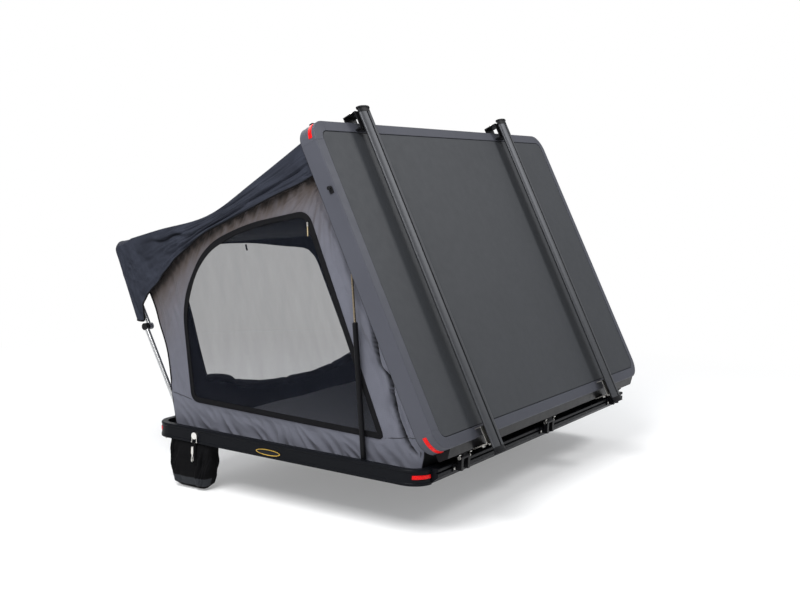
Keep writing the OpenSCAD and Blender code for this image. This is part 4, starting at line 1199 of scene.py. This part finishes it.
# %% [markdown]
# ## Rear wall and doorway
# The rear wall leans with the bow and has a wide doorway. It bulges between the bow's legs and is
# drawn in at both sides, to pass inside the legs and meet the side walls. Its points are laid out
# flat, as the cloth is cut, and one function puts them on the leaning, bulging surface.

# %% Shape of the rear wall
REAR_BULGE = 0.098
SEAM_ROOM = 0.006
REAR_BASE = Vector((0.513 + REAR_BULGE, FOOT_Z))
REAR_HEAD = BOW_TIP + Vector((-0.121, -0.024))
REAR_RISE = (REAR_HEAD - REAR_BASE).length
REAR_UP = (REAR_HEAD - REAR_BASE).normalized()
REAR_HALF = 0.960
REAR_TOP = 1.045 * REAR_RISE
DRAW_START, DRAW_WIDTH = 0.80, 0.09
REAR_BILLOW, REAR_CREASES, REAR_EDGE_FADE = 0.006, 0.002, 0.05
REAR_SOFT = dict(size=0.20, lean=1.2, stretch=2.5, seed=3.3)
REAR_SHARP = dict(size=0.05, lean=1.4, stretch=5.0, seed=8.2)


def seam_y(z):
    """Where the side wall's rear edge is at a height."""
    for a, b in zip(REAR_EDGE, REAR_EDGE[1:]):
        if a.y <= z <= b.y:
            return a.x + (b.x - a.x) * (z - a.y) / (b.y - a.y)
    return REAR_EDGE[0].x if z < REAR_EDGE[0].y else REAR_EDGE[-1].x


def rear_point(across, up, depth):
    """A point of the leaning rear wall, where depth is towards the outside."""
    p = REAR_BASE + REAR_UP * up
    edge = between((abs(across) - DRAW_START) / DRAW_WIDTH, 0, 1)
    inside_legs = REAR_BULGE * max(1 - up / REAR_RISE, 0)
    inside_seam = p.x - seam_y(p.y) + SEAM_ROOM
    pulled_in = max(inside_legs, inside_seam) * edge * edge * (3 - 2 * edge)
    return (across, p.x - pulled_in + depth * REAR_UP.y, p.y - depth * REAR_UP.x)


def rear_depth(p):
    fade = min((REAR_HALF - abs(p.x)) / REAR_EDGE_FADE, 1.0)
    soft = REAR_BILLOW * crease(*p, **REAR_SOFT)
    return fade * (soft + REAR_CREASES * ridge(crease(*p, **REAR_SHARP)))


print("rear wall rises", round(REAR_RISE, 3), "m along its lean")

# %% [markdown]
# The rear wall is again a band of quads, here between the doorway and a plain rectangle. The
# doorway's sill dips between its ends, where the rolled flap lies.

# %% Rear wall
DOOR_LEFT, DOOR_RIGHT = -0.705, 0.460
DOOR = round_corners([
    (Vector((DOOR_LEFT, 0.235 * REAR_RISE)), 0.030), (Vector((-0.500, 0.150 * REAR_RISE)), 0.060),
    (Vector((0.150, 0.115 * REAR_RISE)), 0.150), (Vector((DOOR_RIGHT, 0.175 * REAR_RISE)), 0.050),
    (Vector((0.375, 0.955 * REAR_RISE)), 0.100), (Vector((-0.200, 1.036 * REAR_RISE)), 0.200),
    (Vector((-0.680, 1.036 * REAR_RISE)), 0.240)], 10)
DOOR_CENTRE = Vector(((DOOR_LEFT + DOOR_RIGHT) / 2, 0.45))
REAR_RAYS, REAR_ROWS = 420, 18


def rear_cloth():
    edge = [Vector((-REAR_HALF, 0)), Vector((REAR_HALF, 0)),
            Vector((REAR_HALF, REAR_TOP)), Vector((-REAR_HALF, REAR_TOP))]
    grid = band(DOOR, edge, DOOR_CENTRE, REAR_RAYS, REAR_ROWS)
    flat = [p for column in grid for p in column]
    points = [rear_point(p.x, p.y, rear_depth(p)) for p in flat]
    faces = grid_faces(len(grid), REAR_ROWS + 1, True)
    area = cloth_area(points, faces)
    piece = mesh_piece("rear_cloth", points, faces, canvas_grey, [(p.x, p.y) for p in flat])
    faces_out(piece, (0, 1, 0))
    thicken(piece, WALL_THICK, -1.0, dark_cloth_and_painted_shade)
    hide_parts("rear_wall")
    folds_into_lid(piece)
    return area


print("rear wall area", round(rear_cloth(), 3))

# %% [markdown]
# The net of the doorway is closed. It is filled and bound as the windows are, on the leaning wall
# instead of the flat one, so the same two helpers make it.

# %% Net and tape of the doorway
DOOR_RINGS = 10
DOOR_CREASE = dict(size=0.15, lean=1.0, stretch=3.0, seed=6.0)
DOOR_TAPE_OFF, DOOR_TAPE_OUT = 0.0016, 0.022


def door_net():
    flat, faces = filled(without_doubles(DOOR), DOOR_CENTRE, DOOR_RINGS)
    points = [rear_point(p.x, p.y, NET_RIPPLE * crease(*p, **DOOR_CREASE)) for p in flat]
    piece = mesh_piece("door_net", points, faces, window_net, [(p.x, p.y) for p in flat])
    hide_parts("door_mesh")
    area = cloth_area(points, faces)
    folds_into_lid(piece)
    return area


def on_rear(q, rise):
    return rear_point(q.x, q.y, DOOR_TAPE_OFF + rise + rear_depth(q))


print("doorway net area", round(door_net(), 3))
print("doorway tape", round(tape("door_tape", DOOR, on_rear, shift=DOOR_TAPE_OUT), 2), "m")

# %% [markdown]
# A dark piping closes the seam between the rear wall and each side wall. It follows the side
# wall's rear edge from the floor to the awning, so its path is that edge.

# %% Corner piping
PIPING_RADIUS = 0.0032
PIPING_X = WALL_X - 0.0005


def corner_piping():
    paths = [[Vector((side * PIPING_X, p.x, p.y)) for p in REAR_EDGE] for side, label in SIDES]
    piece = tubes("corner_piping", paths, PIPING_RADIUS, binding_black)
    folds_into_lid(piece)
    return piece


print("corner piping points", len(corner_piping().data.vertices))

# %% [markdown]
# The door's outer flap is rolled down and bunched along the sill: a soft, uneven roll that sags
# between its ends. A bevelled curve would be too even. Here each ring of points wanders in size,
# and ties pinch the roll at three places.

# %% Rolled door flap
ROLL_PATH = chain(((-0.740, 0.185), (-0.660, 0.178), (-0.595, 0.160), (-0.520, 0.126), (-0.360, 0.101),
                   (-0.150, 0.090), (0.130, 0.097), (0.430, 0.145), (0.500, 0.160)), 10)
ROLL_TIES = (-0.56, -0.18, 0.22)
TIE_WIDTH = 0.018
ROLL_SIZE = 0.020
ROLL_DEPTH = -0.027
ROLL_LUMPS, ROLL_TWIST = 0.005, 0.0015
PINCH, ROLL_END = 0.35, 0.25
ROLL_RINGS, ROLL_SIDES = 170, 28


def rolled_flap():
    points = []
    uv = []
    for i in range(ROLL_RINGS):
        t = i / (ROLL_RINGS - 1)
        x, up = along_line(ROLL_PATH, t)
        pinch = max(bell(x, tie, TIE_WIDTH) for tie in ROLL_TIES)
        end = (1 - abs(2 * t - 1) ** 10) ** 0.5
        for k in range(ROLL_SIDES):
            a = 2 * math.pi * k / ROLL_SIDES
            lump = ROLL_SIZE + ROLL_LUMPS * noise.noise(Vector((x * 9, math.cos(a), math.sin(a))))
            lump += ROLL_TWIST * math.sin(3 * a + 20 * x)
            r = lump * (1 - PINCH * pinch) * (ROLL_END + (1 - ROLL_END) * end)
            points.append(rear_point(x, up + r * math.sin(a), ROLL_DEPTH + r * math.cos(a)))
            uv.append((x, a * ROLL_SIZE))
    faces = ring_faces(ROLL_RINGS, ROLL_SIDES)
    faces.append(tuple(range(ROLL_SIDES - 1, -1, -1)))
    faces.append(tuple((ROLL_RINGS - 1) * ROLL_SIDES + k for k in range(ROLL_SIDES)))
    piece = mesh_piece("door_flap_roll", points, faces, dark_cloth_and_painted_shade, uv)
    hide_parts("door_roll")
    folds_into_lid(piece)
    return piece


print("rolled flap", len(rolled_flap().data.polygons))

# %% [markdown]
# ## Inner roof
# Under the awning the tent body has a roof of its own, sewn to the walls and to the lid's lining.
# It is cut from the same cloth, dark on the inside. A grid that follows the roof line and sags
# between the walls is enough, because only its edge shows from outside.

# %% Inner roof
ROOF_COLUMNS, ROOF_ROWS = 60, 40
ROOF_END = 0.93
ROOF_SAG, ROOF_RIPPLE = 0.030, 0.004
ROOF_HALF = WALL_X - 0.004
ROOF_DROP = WALL_DROP * 1.1
ROOF_ON_LID = (1.300, 0.050)


def roof_cloth():
    line = [lid_point(*ROOF_ON_LID)] + [p + ROOF_DROP for p in ROOF_LINE[6:] if p.x < ROOF_END]
    points = []
    uv = []
    for i in range(ROOF_COLUMNS):
        share = i / (ROOF_COLUMNS - 1)
        p = along_line(line, share)
        for k in range(ROOF_ROWS + 1):
            x = 2 * k / ROOF_ROWS - 1
            sag = ROOF_SAG * (1 - x * x) * math.sin(math.pi * share)
            soft = ROOF_RIPPLE * noise.noise(Vector((i * 0.2, x * 4, 1.5)))
            points.append((x * ROOF_HALF, p.x, p.y - sag + soft))
            uv.append((x, i / ROOF_COLUMNS * 1.3))
    faces = grid_faces(ROOF_COLUMNS, ROOF_ROWS + 1, False)
    area = cloth_area(points, faces)
    piece = mesh_piece("roof_cloth", points, faces, canvas_grey, uv)
    faces_out(piece, (0, 0, 1))
    thicken(piece, THIN_CLOTH, -1.0, black_lining_and_painted_shade)
    folds_into_lid(piece)
    return area


print("inner roof area", round(roof_cloth(), 2))

# %% [markdown]
# Below the lid's front edge a short strip of the same cloth closes the tent at the hinge side. It
# runs straight from the floor to the lid's lining and bows inwards a little. Its outer side is
# painted black for the shade in the gap under the lid, and its inner side is painted dark for the
# shade inside the tent.

# %% Front strip
STRIP_COLUMNS, STRIP_ROWS = 120, 14
STRIP_BOW = 0.012
STRIP_HALF = WALL_X - 0.003


def front_cloth():
    top = lid_point(WALL_ON_LID[1], LINING_HEIGHT)
    points = []
    uv = []
    for i in range(STRIP_COLUMNS):
        x = 2 * i / (STRIP_COLUMNS - 1) - 1
        for k in range(STRIP_ROWS + 1):
            p = FRONT_FOOT.lerp(top, k / STRIP_ROWS)
            uneven = 1 + noise.noise(Vector((x * 6, k * 0.2, 2.5)))
            bow_in = STRIP_BOW * math.sin(math.pi * k / STRIP_ROWS) * uneven
            points.append((x * STRIP_HALF, p.x + bow_in, p.y))
            uv.append((x, p.y))
    faces = grid_faces(STRIP_COLUMNS, STRIP_ROWS + 1, False)
    area = cloth_area(points, faces)
    # Outer side painted black for the shade under the lid, inner side painted dark for the shade in the tent
    piece = mesh_piece("front_cloth", points, faces, black_lining_and_painted_shade, uv)
    faces_out(piece, (0, -1, 0))
    thicken(piece, THIN_CLOTH, -1.0, dark_cloth_and_painted_shade)
    folds_into_lid(piece)
    return area


print("front strip area", round(front_cloth(), 2))

# %% [markdown]
# ## Awning
# One dark sheet runs from inside the lid, over the low point of the roof, to the bow, and turns
# down at both sides and round the bow. Its side flaps hang to a curved hem, and their tails wrap
# the bow's legs down to the knees. The sheet is a grid: each column follows the roof line, and its
# ends drop to the hem.

# %% Lines of the awning
FLY_HALF = 0.976
FLY_END = 0.90
FLY_ABOVE = Vector((0, 0.016))
BOW_CORNER = Vector((0.988, 0.808))
FLY_TOP = [p + FLY_ABOVE for p in ROOF_LINE if p.x < FLY_END]


def round_bow(middle, steps):
    """The awning's end: from the roof over the bow, given by steps from the bow's middle."""
    return smooth_chain([FLY_TOP[-1]] + [middle + Vector(step) for step in steps], 6)[1:]


FLY_LINE = FLY_TOP + round_bow(BOW_TIP, ((-0.030, 0.036), (0.006, 0.026), (0.018, 0.004),
                                         (0.012, -0.014)))
FLAP_LINE = FLY_TOP + round_bow(BOW_CORNER, ((-0.050, 0.024), (-0.012, 0.010), (0, -0.012),
                                             (-0.010, -0.040)))
print("awning line points", len(FLY_LINE))

# %% [markdown]
# The coated cloth has long creases from the lid to the bow, short ones across and pulls at the hem.
# A sharp fold runs along each flank, below the edge that the bow holds up. The loose cloth on both
# sides of that fold stands outwards; folded inwards, it would meet the wall.

# %% Creases of the awning
LONG_CREASES, STREAKS, CROSS_CREASES, FINE_CREASES, HEM_PULLS = 0.008, 0.0045, 0.0035, 0.0014, 0.006
LOOSE_OUT, FOLD_IN = 0.012, 0.003
FLANK_MIDDLE, FLANK_REACH = 0.68, 0.13
FLANK_DROP, FLANK_WANDER, FLANK_WIDTH = 0.044, 0.020, 0.0070


def fly_wrinkle(u, x, down):
    """Creases of the coated cloth: long ones from the lid to the bow and short ones at the hem."""
    long_ones = LONG_CREASES * noise.noise(Vector((u * 3.0, x * 5.0, 0.4)))
    streaks = STREAKS * ridge(noise.noise(Vector((u * 4.0 + x * 1.5, x * 9.0 - u * 2.0, 2.4))))
    cross = CROSS_CREASES * ridge(noise.noise(Vector((u * 13.0, x * 5.0 + u * 6.0, 6.4))))
    fine = FINE_CREASES * noise.noise(Vector((u * 40.0, x * 26.0, 5.4)))
    pulled = HEM_PULLS * down * math.sin(u * 40 + 3 * noise.noise(Vector((u * 6, 0.1, 7.0))))
    return long_ones + streaks + cross + fine + pulled


def flank_fold(u, t):
    """How far a point of a flap is in the flank's fold, and how far the loose cloth stands out."""
    top = along_line(FLAP_LINE, u)
    drop = (1 - t) * (top - along_line(HEM_LINE, u)).length
    middle = FLANK_DROP + FLANK_WANDER * noise.noise(Vector((top.x * 14.0, 0.4, 8.0)))
    near = bell(top.x, FLANK_MIDDLE, FLANK_REACH)
    loose = bell(drop, middle - 0.014, 0.010) + 0.9 * bell(drop, middle + 0.024, 0.022)
    return near * bell(drop, middle, FLANK_WIDTH), near * loose


print("fold and loose cloth halfway down a flank", flank_fold(0.7, 0.5))

# %% [markdown]
# A column of the awning runs from the left hem up the flap, across the top and down to the right
# hem. Its top rows lie closer together at the sides, where the sheet turns down. Near the lid and
# the bow the sheet is held, so its creases fade there.

# %% Awning sheet
FLAP_ROWS, TOP_ROWS, FLY_COLUMNS = 44, 100, 130
FLY_ROWS = 2 * FLAP_ROWS + TOP_ROWS + 1
FLY_SAG, SAG_RUN = 0.026, 1.35
FLY_FLARE = 0.005
LID_HOLD, BOW_HOLD = 12, 14
CORNER_FROM = 0.93
FOLD_SHADE = 0.75
AWNING_FOLD = (1.25, 0.0535, 1.5, 0.0015)


def fly_column(u):
    """Points across the awning, from the left hem to the right one."""
    top, flap_top, hem = (along_line(line, u) for line in (FLY_LINE, FLAP_LINE, HEM_LINE))
    hold = min(u * LID_HOLD, (1 - u) * BOW_HOLD, 1.0)
    flaps = []
    for side, label in SIDES:
        flap = []
        for k in range(FLAP_ROWS):
            t = k / FLAP_ROWS
            p = hem.lerp(flap_top, t)
            fold, loose = flank_fold(u, t)
            out = fly_wrinkle(u, side * (2 + t), 1 - t) * hold * (1 - t ** 4)
            out += LOOSE_OUT * loose - FOLD_IN * fold
            flap.append((side * (FLY_HALF + FLY_FLARE * (1 - t) + out), p.x, p.y))
        flaps.append(flap)
    across = []
    for k in range(TOP_ROWS + 1):
        x = math.sin(math.pi * (k / TOP_ROWS - 0.5))
        corner = between((abs(x) - CORNER_FROM) / (1 - CORNER_FROM), 0, 1) ** 2
        p = top.lerp(flap_top, corner)
        sag = FLY_SAG * (1 - x * x) * math.sin(math.pi * min(u * SAG_RUN, 1.0))
        lift = fly_wrinkle(u, x * 2, 0.0) * hold * (1 - abs(x) ** 8)
        across.append((x * FLY_HALF, p.x, p.y - sag + lift))
    return flaps[0] + across + flaps[1][::-1]


def fly_painted_shade(i):
    """Painted shade in the flank's fold, for the point with that number."""
    u = i // FLY_ROWS / (FLY_COLUMNS - 1)
    k = min(i % FLY_ROWS, FLY_ROWS - 1 - i % FLY_ROWS)
    dark = 1 - FOLD_SHADE * flank_fold(u, k / FLAP_ROWS)[0] if k < FLAP_ROWS else 1.0
    return dark, dark, dark


def awning(columns):
    points = []
    uv = []
    for i, row in enumerate(columns):
        points += row
        run = 0.0
        for k, p in enumerate(row):
            run += (Vector(p) - Vector(row[k - 1])).length if k else 0.0
            uv.append((run, i / (FLY_COLUMNS - 1) * 1.5))
    faces = grid_faces(FLY_COLUMNS, FLY_ROWS, False)
    area = cloth_area(points, faces)
    piece = mesh_piece("awning_cloth", points, faces, fly_navy, uv)
    give_painted_shade(piece, [fly_painted_shade(i) for i in range(len(points))])
    thicken(piece, WALL_THICK)
    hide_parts("rain_fly")
    folds_into_lid(piece, *AWNING_FOLD)
    return area


fly_columns = [fly_column(i / (FLY_COLUMNS - 1)) for i in range(FLY_COLUMNS)]
print("awning area", round(awning(fly_columns), 2))

# %% [markdown]
# The awning's side edges are bound with a rolled tape, which keeps a cut edge from fraying. It
# follows the first and last points of the awning's columns, so it can't part from the sheet.

# %% Bound hem of the awning
HEM_RADIUS = 0.0036


def awning_hem(columns):
    paths = [[Vector(column[end]) for column in columns] for end in (0, -1)]
    piece = tubes("awning_hem", paths, HEM_RADIUS, binding_black)
    folds_into_lid(piece, *AWNING_FOLD)
    return piece


print("awning hem", len(awning_hem(fly_columns).data.polygons))

# %% [markdown]
# ## Mattress
# A foam mattress in a knitted cover: a crowned block whose sides draw in between the corners. It
# starts as a cube, is cut into a fine grid and is then pushed into shape. A Bevel modifier alone
# would leave its top and sides flat.

# %% Mattress
MATTRESS_LOW, MATTRESS_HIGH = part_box("mattress")
MATTRESS_CUTS = 39
CROWN, WAIST = 0.012, 0.010
CORNER_OFF = 0.045
SIDE_OFF = 0.015
DENT = 0.004
COVER_EDGE = 0.012


def soft_block_point(x, y, z):
    """Where a point of the cube, from -1 to 1 each way, lies on the mattress."""
    size = MATTRESS_HIGH - MATTRESS_LOW
    middle = (MATTRESS_LOW + MATTRESS_HIGH) / 2
    round_off = 1 - CORNER_OFF * abs(x) ** 10 * abs(y) ** 10
    side = 1 - SIDE_OFF * (1 - math.sqrt(max(1 - (0.92 * z) ** 8, 0)))
    waist = WAIST * (0.4 + 0.6 * (1 - z * z))
    pull_x = waist * (1 - y * y) * abs(x) ** 6
    pull_y = waist * (1 - x * x) * abs(y) ** 6
    rise = CROWN * max(1 - x * x, 0) ** 0.6 * max(1 - y * y, 0) ** 0.6 if z > 0 else 0.0
    dent = DENT * noise.noise(Vector((x * 3, y * 2, 0.7))) if z > 0 else 0.0
    return (middle.x + x * size.x / 2 * round_off * side - math.copysign(pull_x, x),
            middle.y + y * size.y / 2 * round_off * side - math.copysign(pull_y, y),
            middle.z + z * (size.z - CROWN) / 2 - CROWN / 2 + (rise + dent) * (z + 1) / 2)


def soft_edge(piece, width):
    bevel = piece.modifiers.new("soft_edge", "BEVEL")
    bevel.width = width
    bevel.segments = 3
    bevel.limit_method = "ANGLE"
    bpy.ops.object.modifier_apply(modifier=bevel.name)


def padded_block(name, material):
    deselect()
    bpy.ops.mesh.primitive_cube_add(size=1.0)
    block = bpy.context.object
    block.name = name
    block.data.name = name
    bpy.ops.object.mode_set(mode="EDIT")
    bpy.ops.mesh.select_all(action="SELECT")
    bpy.ops.mesh.subdivide(number_cuts=MATTRESS_CUTS)
    bpy.ops.object.mode_set(mode="OBJECT")
    for v in block.data.vertices:
        v.co = soft_block_point(*(v.co * 2))
    block.data.materials.append(material)
    bpy.ops.object.shade_smooth()
    soft_edge(block, COVER_EDGE)
    return block


mattress = padded_block("mattress_cover", bedding_grey)
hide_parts("mattress")
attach(mattress, "base")
print("mattress from", MATTRESS_LOW, "to", MATTRESS_HIGH)

# %% [markdown]
# The cover is then blown up a little as simulated cloth, with its underside held, so that its top
# swells between the edges and its sides get small creases. No point moves further than a limit.

# %% Cloth under pressure
PUFF_PRESSURE, PUFF_LIMIT, PUFF_FRAMES = 0.05, 0.009, 20
HELD_BELOW = MATTRESS_LOW.z + 0.012


def puff(piece):
    """Blows a closed form up as cloth for some frames and keeps the result."""
    before = [v.co.copy() for v in piece.data.vertices]
    group = piece.vertex_groups.new(name="held")
    group.add([v.index for v in piece.data.vertices if v.co.z < HELD_BELOW], 1.0, "REPLACE")
    deselect()
    piece.select_set(True)
    bpy.context.view_layer.objects.active = piece
    cloth = piece.modifiers.new("cloth", "CLOTH")
    cloth.settings.quality = 5
    cloth.settings.mass = 0.3
    cloth.settings.use_pressure = True
    cloth.settings.uniform_pressure_force = PUFF_PRESSURE
    cloth.settings.effector_weights.gravity = 0.0
    cloth.settings.vertex_group_mass = "held"
    cloth.settings.shrink_min = -0.001
    cloth.point_cache.frame_start = 1
    cloth.point_cache.frame_end = PUFF_FRAMES
    for frame_number in range(1, PUFF_FRAMES + 1):
        bpy.context.scene.frame_set(frame_number)
    bpy.ops.object.modifier_apply(modifier=cloth.name)
    bpy.context.scene.frame_set(1)
    furthest = 0.0
    for v, old in zip(piece.data.vertices, before):
        step = v.co - old
        furthest = max(furthest, step.length)
        if step.length > PUFF_LIMIT:
            v.co = old + step * (PUFF_LIMIT / step.length)
    piece.vertex_groups.clear()
    print(piece.name, "moved by up to", round(furthest, 4))


puff(mattress)

# %% [markdown]
# ## Shoe bag
# A soft bag of heavy cloth hangs by a strap from the hook on the tray's left rail. It is a lofted
# shell that narrows to a flat bottom and has a plain band sewn across its lower end, on the side
# away from the tray. Empty, it creases, so its sides are uneven; a bevelled cube would look like a box.

# %% Bag shell
BAG_LOW, BAG_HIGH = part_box("shoe_bag")
BAND_LOW, BAND_HIGH = 0.012, 0.050
BAND_DEPTH = 0.05
BAG_RINGS, BAG_SIDES = 80, 128
BAG_FOLDS, BAG_DENTS = 0.010, 0.012
BAG_BOTTOM = 0.10
BAG_CREASE = dict(size=0.34, lean=1.25, stretch=2.6, seed=3.0)


def bag_point(t, a):
    """A point of the bag: t runs from its mouth to its bottom, a turns round it."""
    middle = (BAG_LOW + BAG_HIGH) / 2
    half = (BAG_HIGH - BAG_LOW) / 2
    c, s = math.cos(a), math.sin(a)
    belly = 0.62 + 0.30 * math.sin(math.pi * min(t * 0.62 + 0.08, 1))
    close = 1 - 0.5 * max(t - (1 - BAG_BOTTOM), 0) / BAG_BOTTOM
    narrow = 0.93 - 0.27 * t * t
    x = math.copysign(abs(c) ** 0.5, c) * half.x * belly * close
    y = math.copysign(abs(s) ** 0.35, s) * half.y * narrow * (0.7 + 0.3 * close)
    fold = BAG_FOLDS * ridge(crease(2 * s + 0.4 * c, t * 1.6, **BAG_CREASE))
    dent = BAG_DENTS * noise.noise(Vector((c * 1.5, s * 1.5, t * 3.5)))
    give = math.sin(math.pi * between(t, 0.05, 1)) ** 0.5
    z = BAG_HIGH.z - (BAG_HIGH.z - BAG_LOW.z) * t
    return Vector((middle.x + x + c * (fold + dent) * give, middle.y + y + 0.5 * s * dent * give, z))


def bag_shell():
    points = []
    uv = []
    for i in range(BAG_RINGS):
        for k in range(BAG_SIDES):
            a = 2 * math.pi * k / BAG_SIDES
            p = bag_point(i / (BAG_RINGS - 1), a)
            points.append(p)
            uv.append((a * 0.08, p.z))
    faces = [face[::-1] for face in ring_faces(BAG_RINGS, BAG_SIDES)]
    faces.append(tuple(range(BAG_SIDES)))
    faces.append(tuple((BAG_RINGS - 1) * BAG_SIDES + k for k in range(BAG_SIDES - 1, -1, -1)))
    piece = mesh_piece("shoe_bag_shell", points, faces, bag_black, uv)
    piece.data.materials.append(band_grey)
    for polygon in piece.data.polygons:
        in_band = BAND_LOW < polygon.center.z - BAG_LOW.z < BAND_HIGH
        polygon.material_index = 1 if in_band and polygon.center.x < BAG_LOW.x + BAND_DEPTH else 0
    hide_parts("shoe_bag")
    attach(piece, "shoe_bag")
    return piece


print("bag", len(bag_shell().data.polygons))

# %% [markdown]
# ## Small parts
# These are turned or pressed pieces, so each starts as a cylinder or a ring, as it would on a lathe.
# Its ends are inset and raised in edit mode, and a bevel takes off the sharp edges. Last, its place
# goes into its mesh, because every finished object sits at the origin.

# %% Finish of small parts
SMALL_SMOOTH = math.radians(35)
brass = drawn_metal("brass", (0.62, 0.40, 0.08), 0.35, (14, 1, 14))
cord_beige = woven("cord_beige", (0.42, 0.34, 0.20), 0.8, 0.1)


def finish_small(name, material, slot, body, bevel=0.0):
    """Names the new primitive, puts its place into its mesh and softens its edges."""
    piece = bpy.context.object
    piece.name = name
    piece.data.name = name
    bpy.ops.object.transform_apply(location=True, rotation=True, scale=True)
    piece.data.materials.append(material)
    if bevel:
        soft_edge(piece, bevel)
    bpy.ops.object.shade_smooth_by_angle(angle=SMALL_SMOOTH)
    if body:
        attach(piece, body)
    return piece


def select_in_edit(kind, chosen):
    """Selects vertices or faces of the new primitive by a rule, and leaves it in edit mode."""
    mesh = bpy.context.object.data
    bpy.ops.object.mode_set(mode="EDIT")
    bpy.ops.mesh.select_mode(type=kind)
    bpy.ops.mesh.select_all(action="DESELECT")
    bpy.ops.object.mode_set(mode="OBJECT")
    for part in mesh.polygons if kind == "FACE" else mesh.vertices:
        part.select = chosen(part)
    bpy.ops.object.mode_set(mode="EDIT")


def inset_ends(width, rise):
    """Insets the two flat ends of the new cylinder and moves them out or in."""
    select_in_edit("FACE", lambda face: len(face.vertices) > 4)
    bpy.ops.mesh.inset(thickness=width, depth=rise, use_individual=True)
    bpy.ops.object.mode_set(mode="OBJECT")


print("small parts' finishes", brass.name, cord_beige.name)

# %% [markdown]
# The tray's left rail has a plain oval plate in a brass rim. Both are cylinders that are squeezed
# into ovals, one a little larger than the other.

# %% Oval plate
RAIL_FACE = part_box("base_rail_left")[0].x
PLATE_Y, PLATE_Z = 0.045, 0.024
PLATE_EDGE, PLATE_DOME, PLATE_BEVEL = 0.035, 0.15, 0.0006
PLATES = (
    # name, step out of the rail, length, height, thickness, finish, slot
    ("plate_rim", 0.0006, 0.127, 0.026, 0.0018, brass, "stainless"),
    ("oval_plate", 0.0012, 0.119, 0.019, 0.0022, moulded_black, "black_plastic"),
)
for name, out, length, height, thickness, material, slot in PLATES:
    deselect()
    bpy.ops.mesh.primitive_cylinder_add(vertices=72, radius=0.5, depth=1.0, rotation=(0, math.pi / 2, 0),
                                        location=(RAIL_FACE - out, PLATE_Y, PLATE_Z))
    inset_ends(PLATE_EDGE, PLATE_DOME)
    bpy.context.object.scale = (height, length, thickness)
    finish_small(name, material, slot, "base", PLATE_BEVEL)
print("plates", [row[0] for row in PLATES])

# %% [markdown]
# The bag's strap ends in a snap hook: a barrel, a thinner stem and a link of round wire. The link is
# a ring whose lower half is pulled down into an oval.

# %% Snap hook
ROD_SIDES = 24
ROD_INSET, ROD_TIP, ROD_BEVEL = 0.35, 0.25, 0.2
strap_low, strap_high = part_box("bag_strap")
HOOK_X = strap_low.x - 0.0062
HOOK_Y = (strap_low.y + strap_high.y) / 2
LINK_Z, LINK_RADIUS, LINK_WIRE, LINK_STRETCH = -0.063, 0.0095, 0.0018, 0.006
LINK_TURN = 0.4


def rod(name, a, b, size, material, slot, body):
    a, b = Vector(a), Vector(b)
    turn = (b - a).to_track_quat("Z", "Y").to_euler()
    deselect()
    bpy.ops.mesh.primitive_cylinder_add(vertices=ROD_SIDES, radius=size, depth=(b - a).length,
                                        location=(a + b) / 2, rotation=turn)
    inset_ends(size * ROD_INSET, size * ROD_TIP)
    return finish_small(name, material, slot, body, size * ROD_BEVEL)


def hook_rod(name, top, bottom, size):
    rod(name, (HOOK_X, HOOK_Y, top), (HOOK_X, HOOK_Y, bottom), size, stainless, "stainless", "shoe_bag")


def wire_link(name):
    deselect()
    bpy.ops.mesh.primitive_torus_add(major_segments=36, minor_segments=12, major_radius=LINK_RADIUS,
                                     minor_radius=LINK_WIRE, location=(HOOK_X, HOOK_Y, LINK_Z),
                                     rotation=(math.pi / 2, 0, LINK_TURN))
    link = bpy.context.object
    select_in_edit("VERT", lambda v: (link.matrix_world @ v.co).z < LINK_Z)
    bpy.ops.transform.translate(value=(0, 0, -LINK_STRETCH))
    bpy.ops.object.mode_set(mode="OBJECT")
    return finish_small(name, stainless, "stainless", "shoe_bag")


hook_rod("snap_barrel", -0.012, -0.044, 0.0055)
hook_rod("snap_stem", -0.044, -0.054, 0.0032)
print("link has", len(wire_link("snap_eye").data.polygons), "faces")

# %% [markdown]
# Each window's zip ends near its top in a slider with a short cord pull, and the doorway's zip in a
# tab. They hang on cloth, so they ride on the lid with it.

# %% Zip pulls
PULL_OUT = 0.0045
CORD_RADIUS, SLIDER_RADIUS, TAB_RADIUS = 0.0024, 0.0034, 0.0045
CORD_TOP, CORD_END = (-0.089, 0.968), (-0.091, 0.926)
SLIDER_TOP, SLIDER_END = (-0.088, 0.982), (-0.089, 0.966)
TAB_ACROSS = -0.165

for side, label in SIDES:
    pull_x = side * (WALL_X + PULL_OUT)
    cord = rod("zip_cord_" + label, (pull_x, *CORD_TOP), (pull_x, *CORD_END), CORD_RADIUS, cord_beige,
               "canvas", None)
    folds_into_lid(cord)
    slider = rod("zip_slider_" + label, (pull_x, *SLIDER_TOP), (pull_x, *SLIDER_END), SLIDER_RADIUS,
                 stainless, "stainless", None)
    folds_into_lid(slider)
tab = rod("door_zip_tab", rear_point(TAB_ACROSS, 0.815, 0.004), rear_point(TAB_ACROSS, 0.785, 0.006),
          TAB_RADIUS, binding_black, "net", None)
folds_into_lid(tab)
print("zip cords are", round((Vector(CORD_TOP) - Vector(CORD_END)).length, 4), "m long")
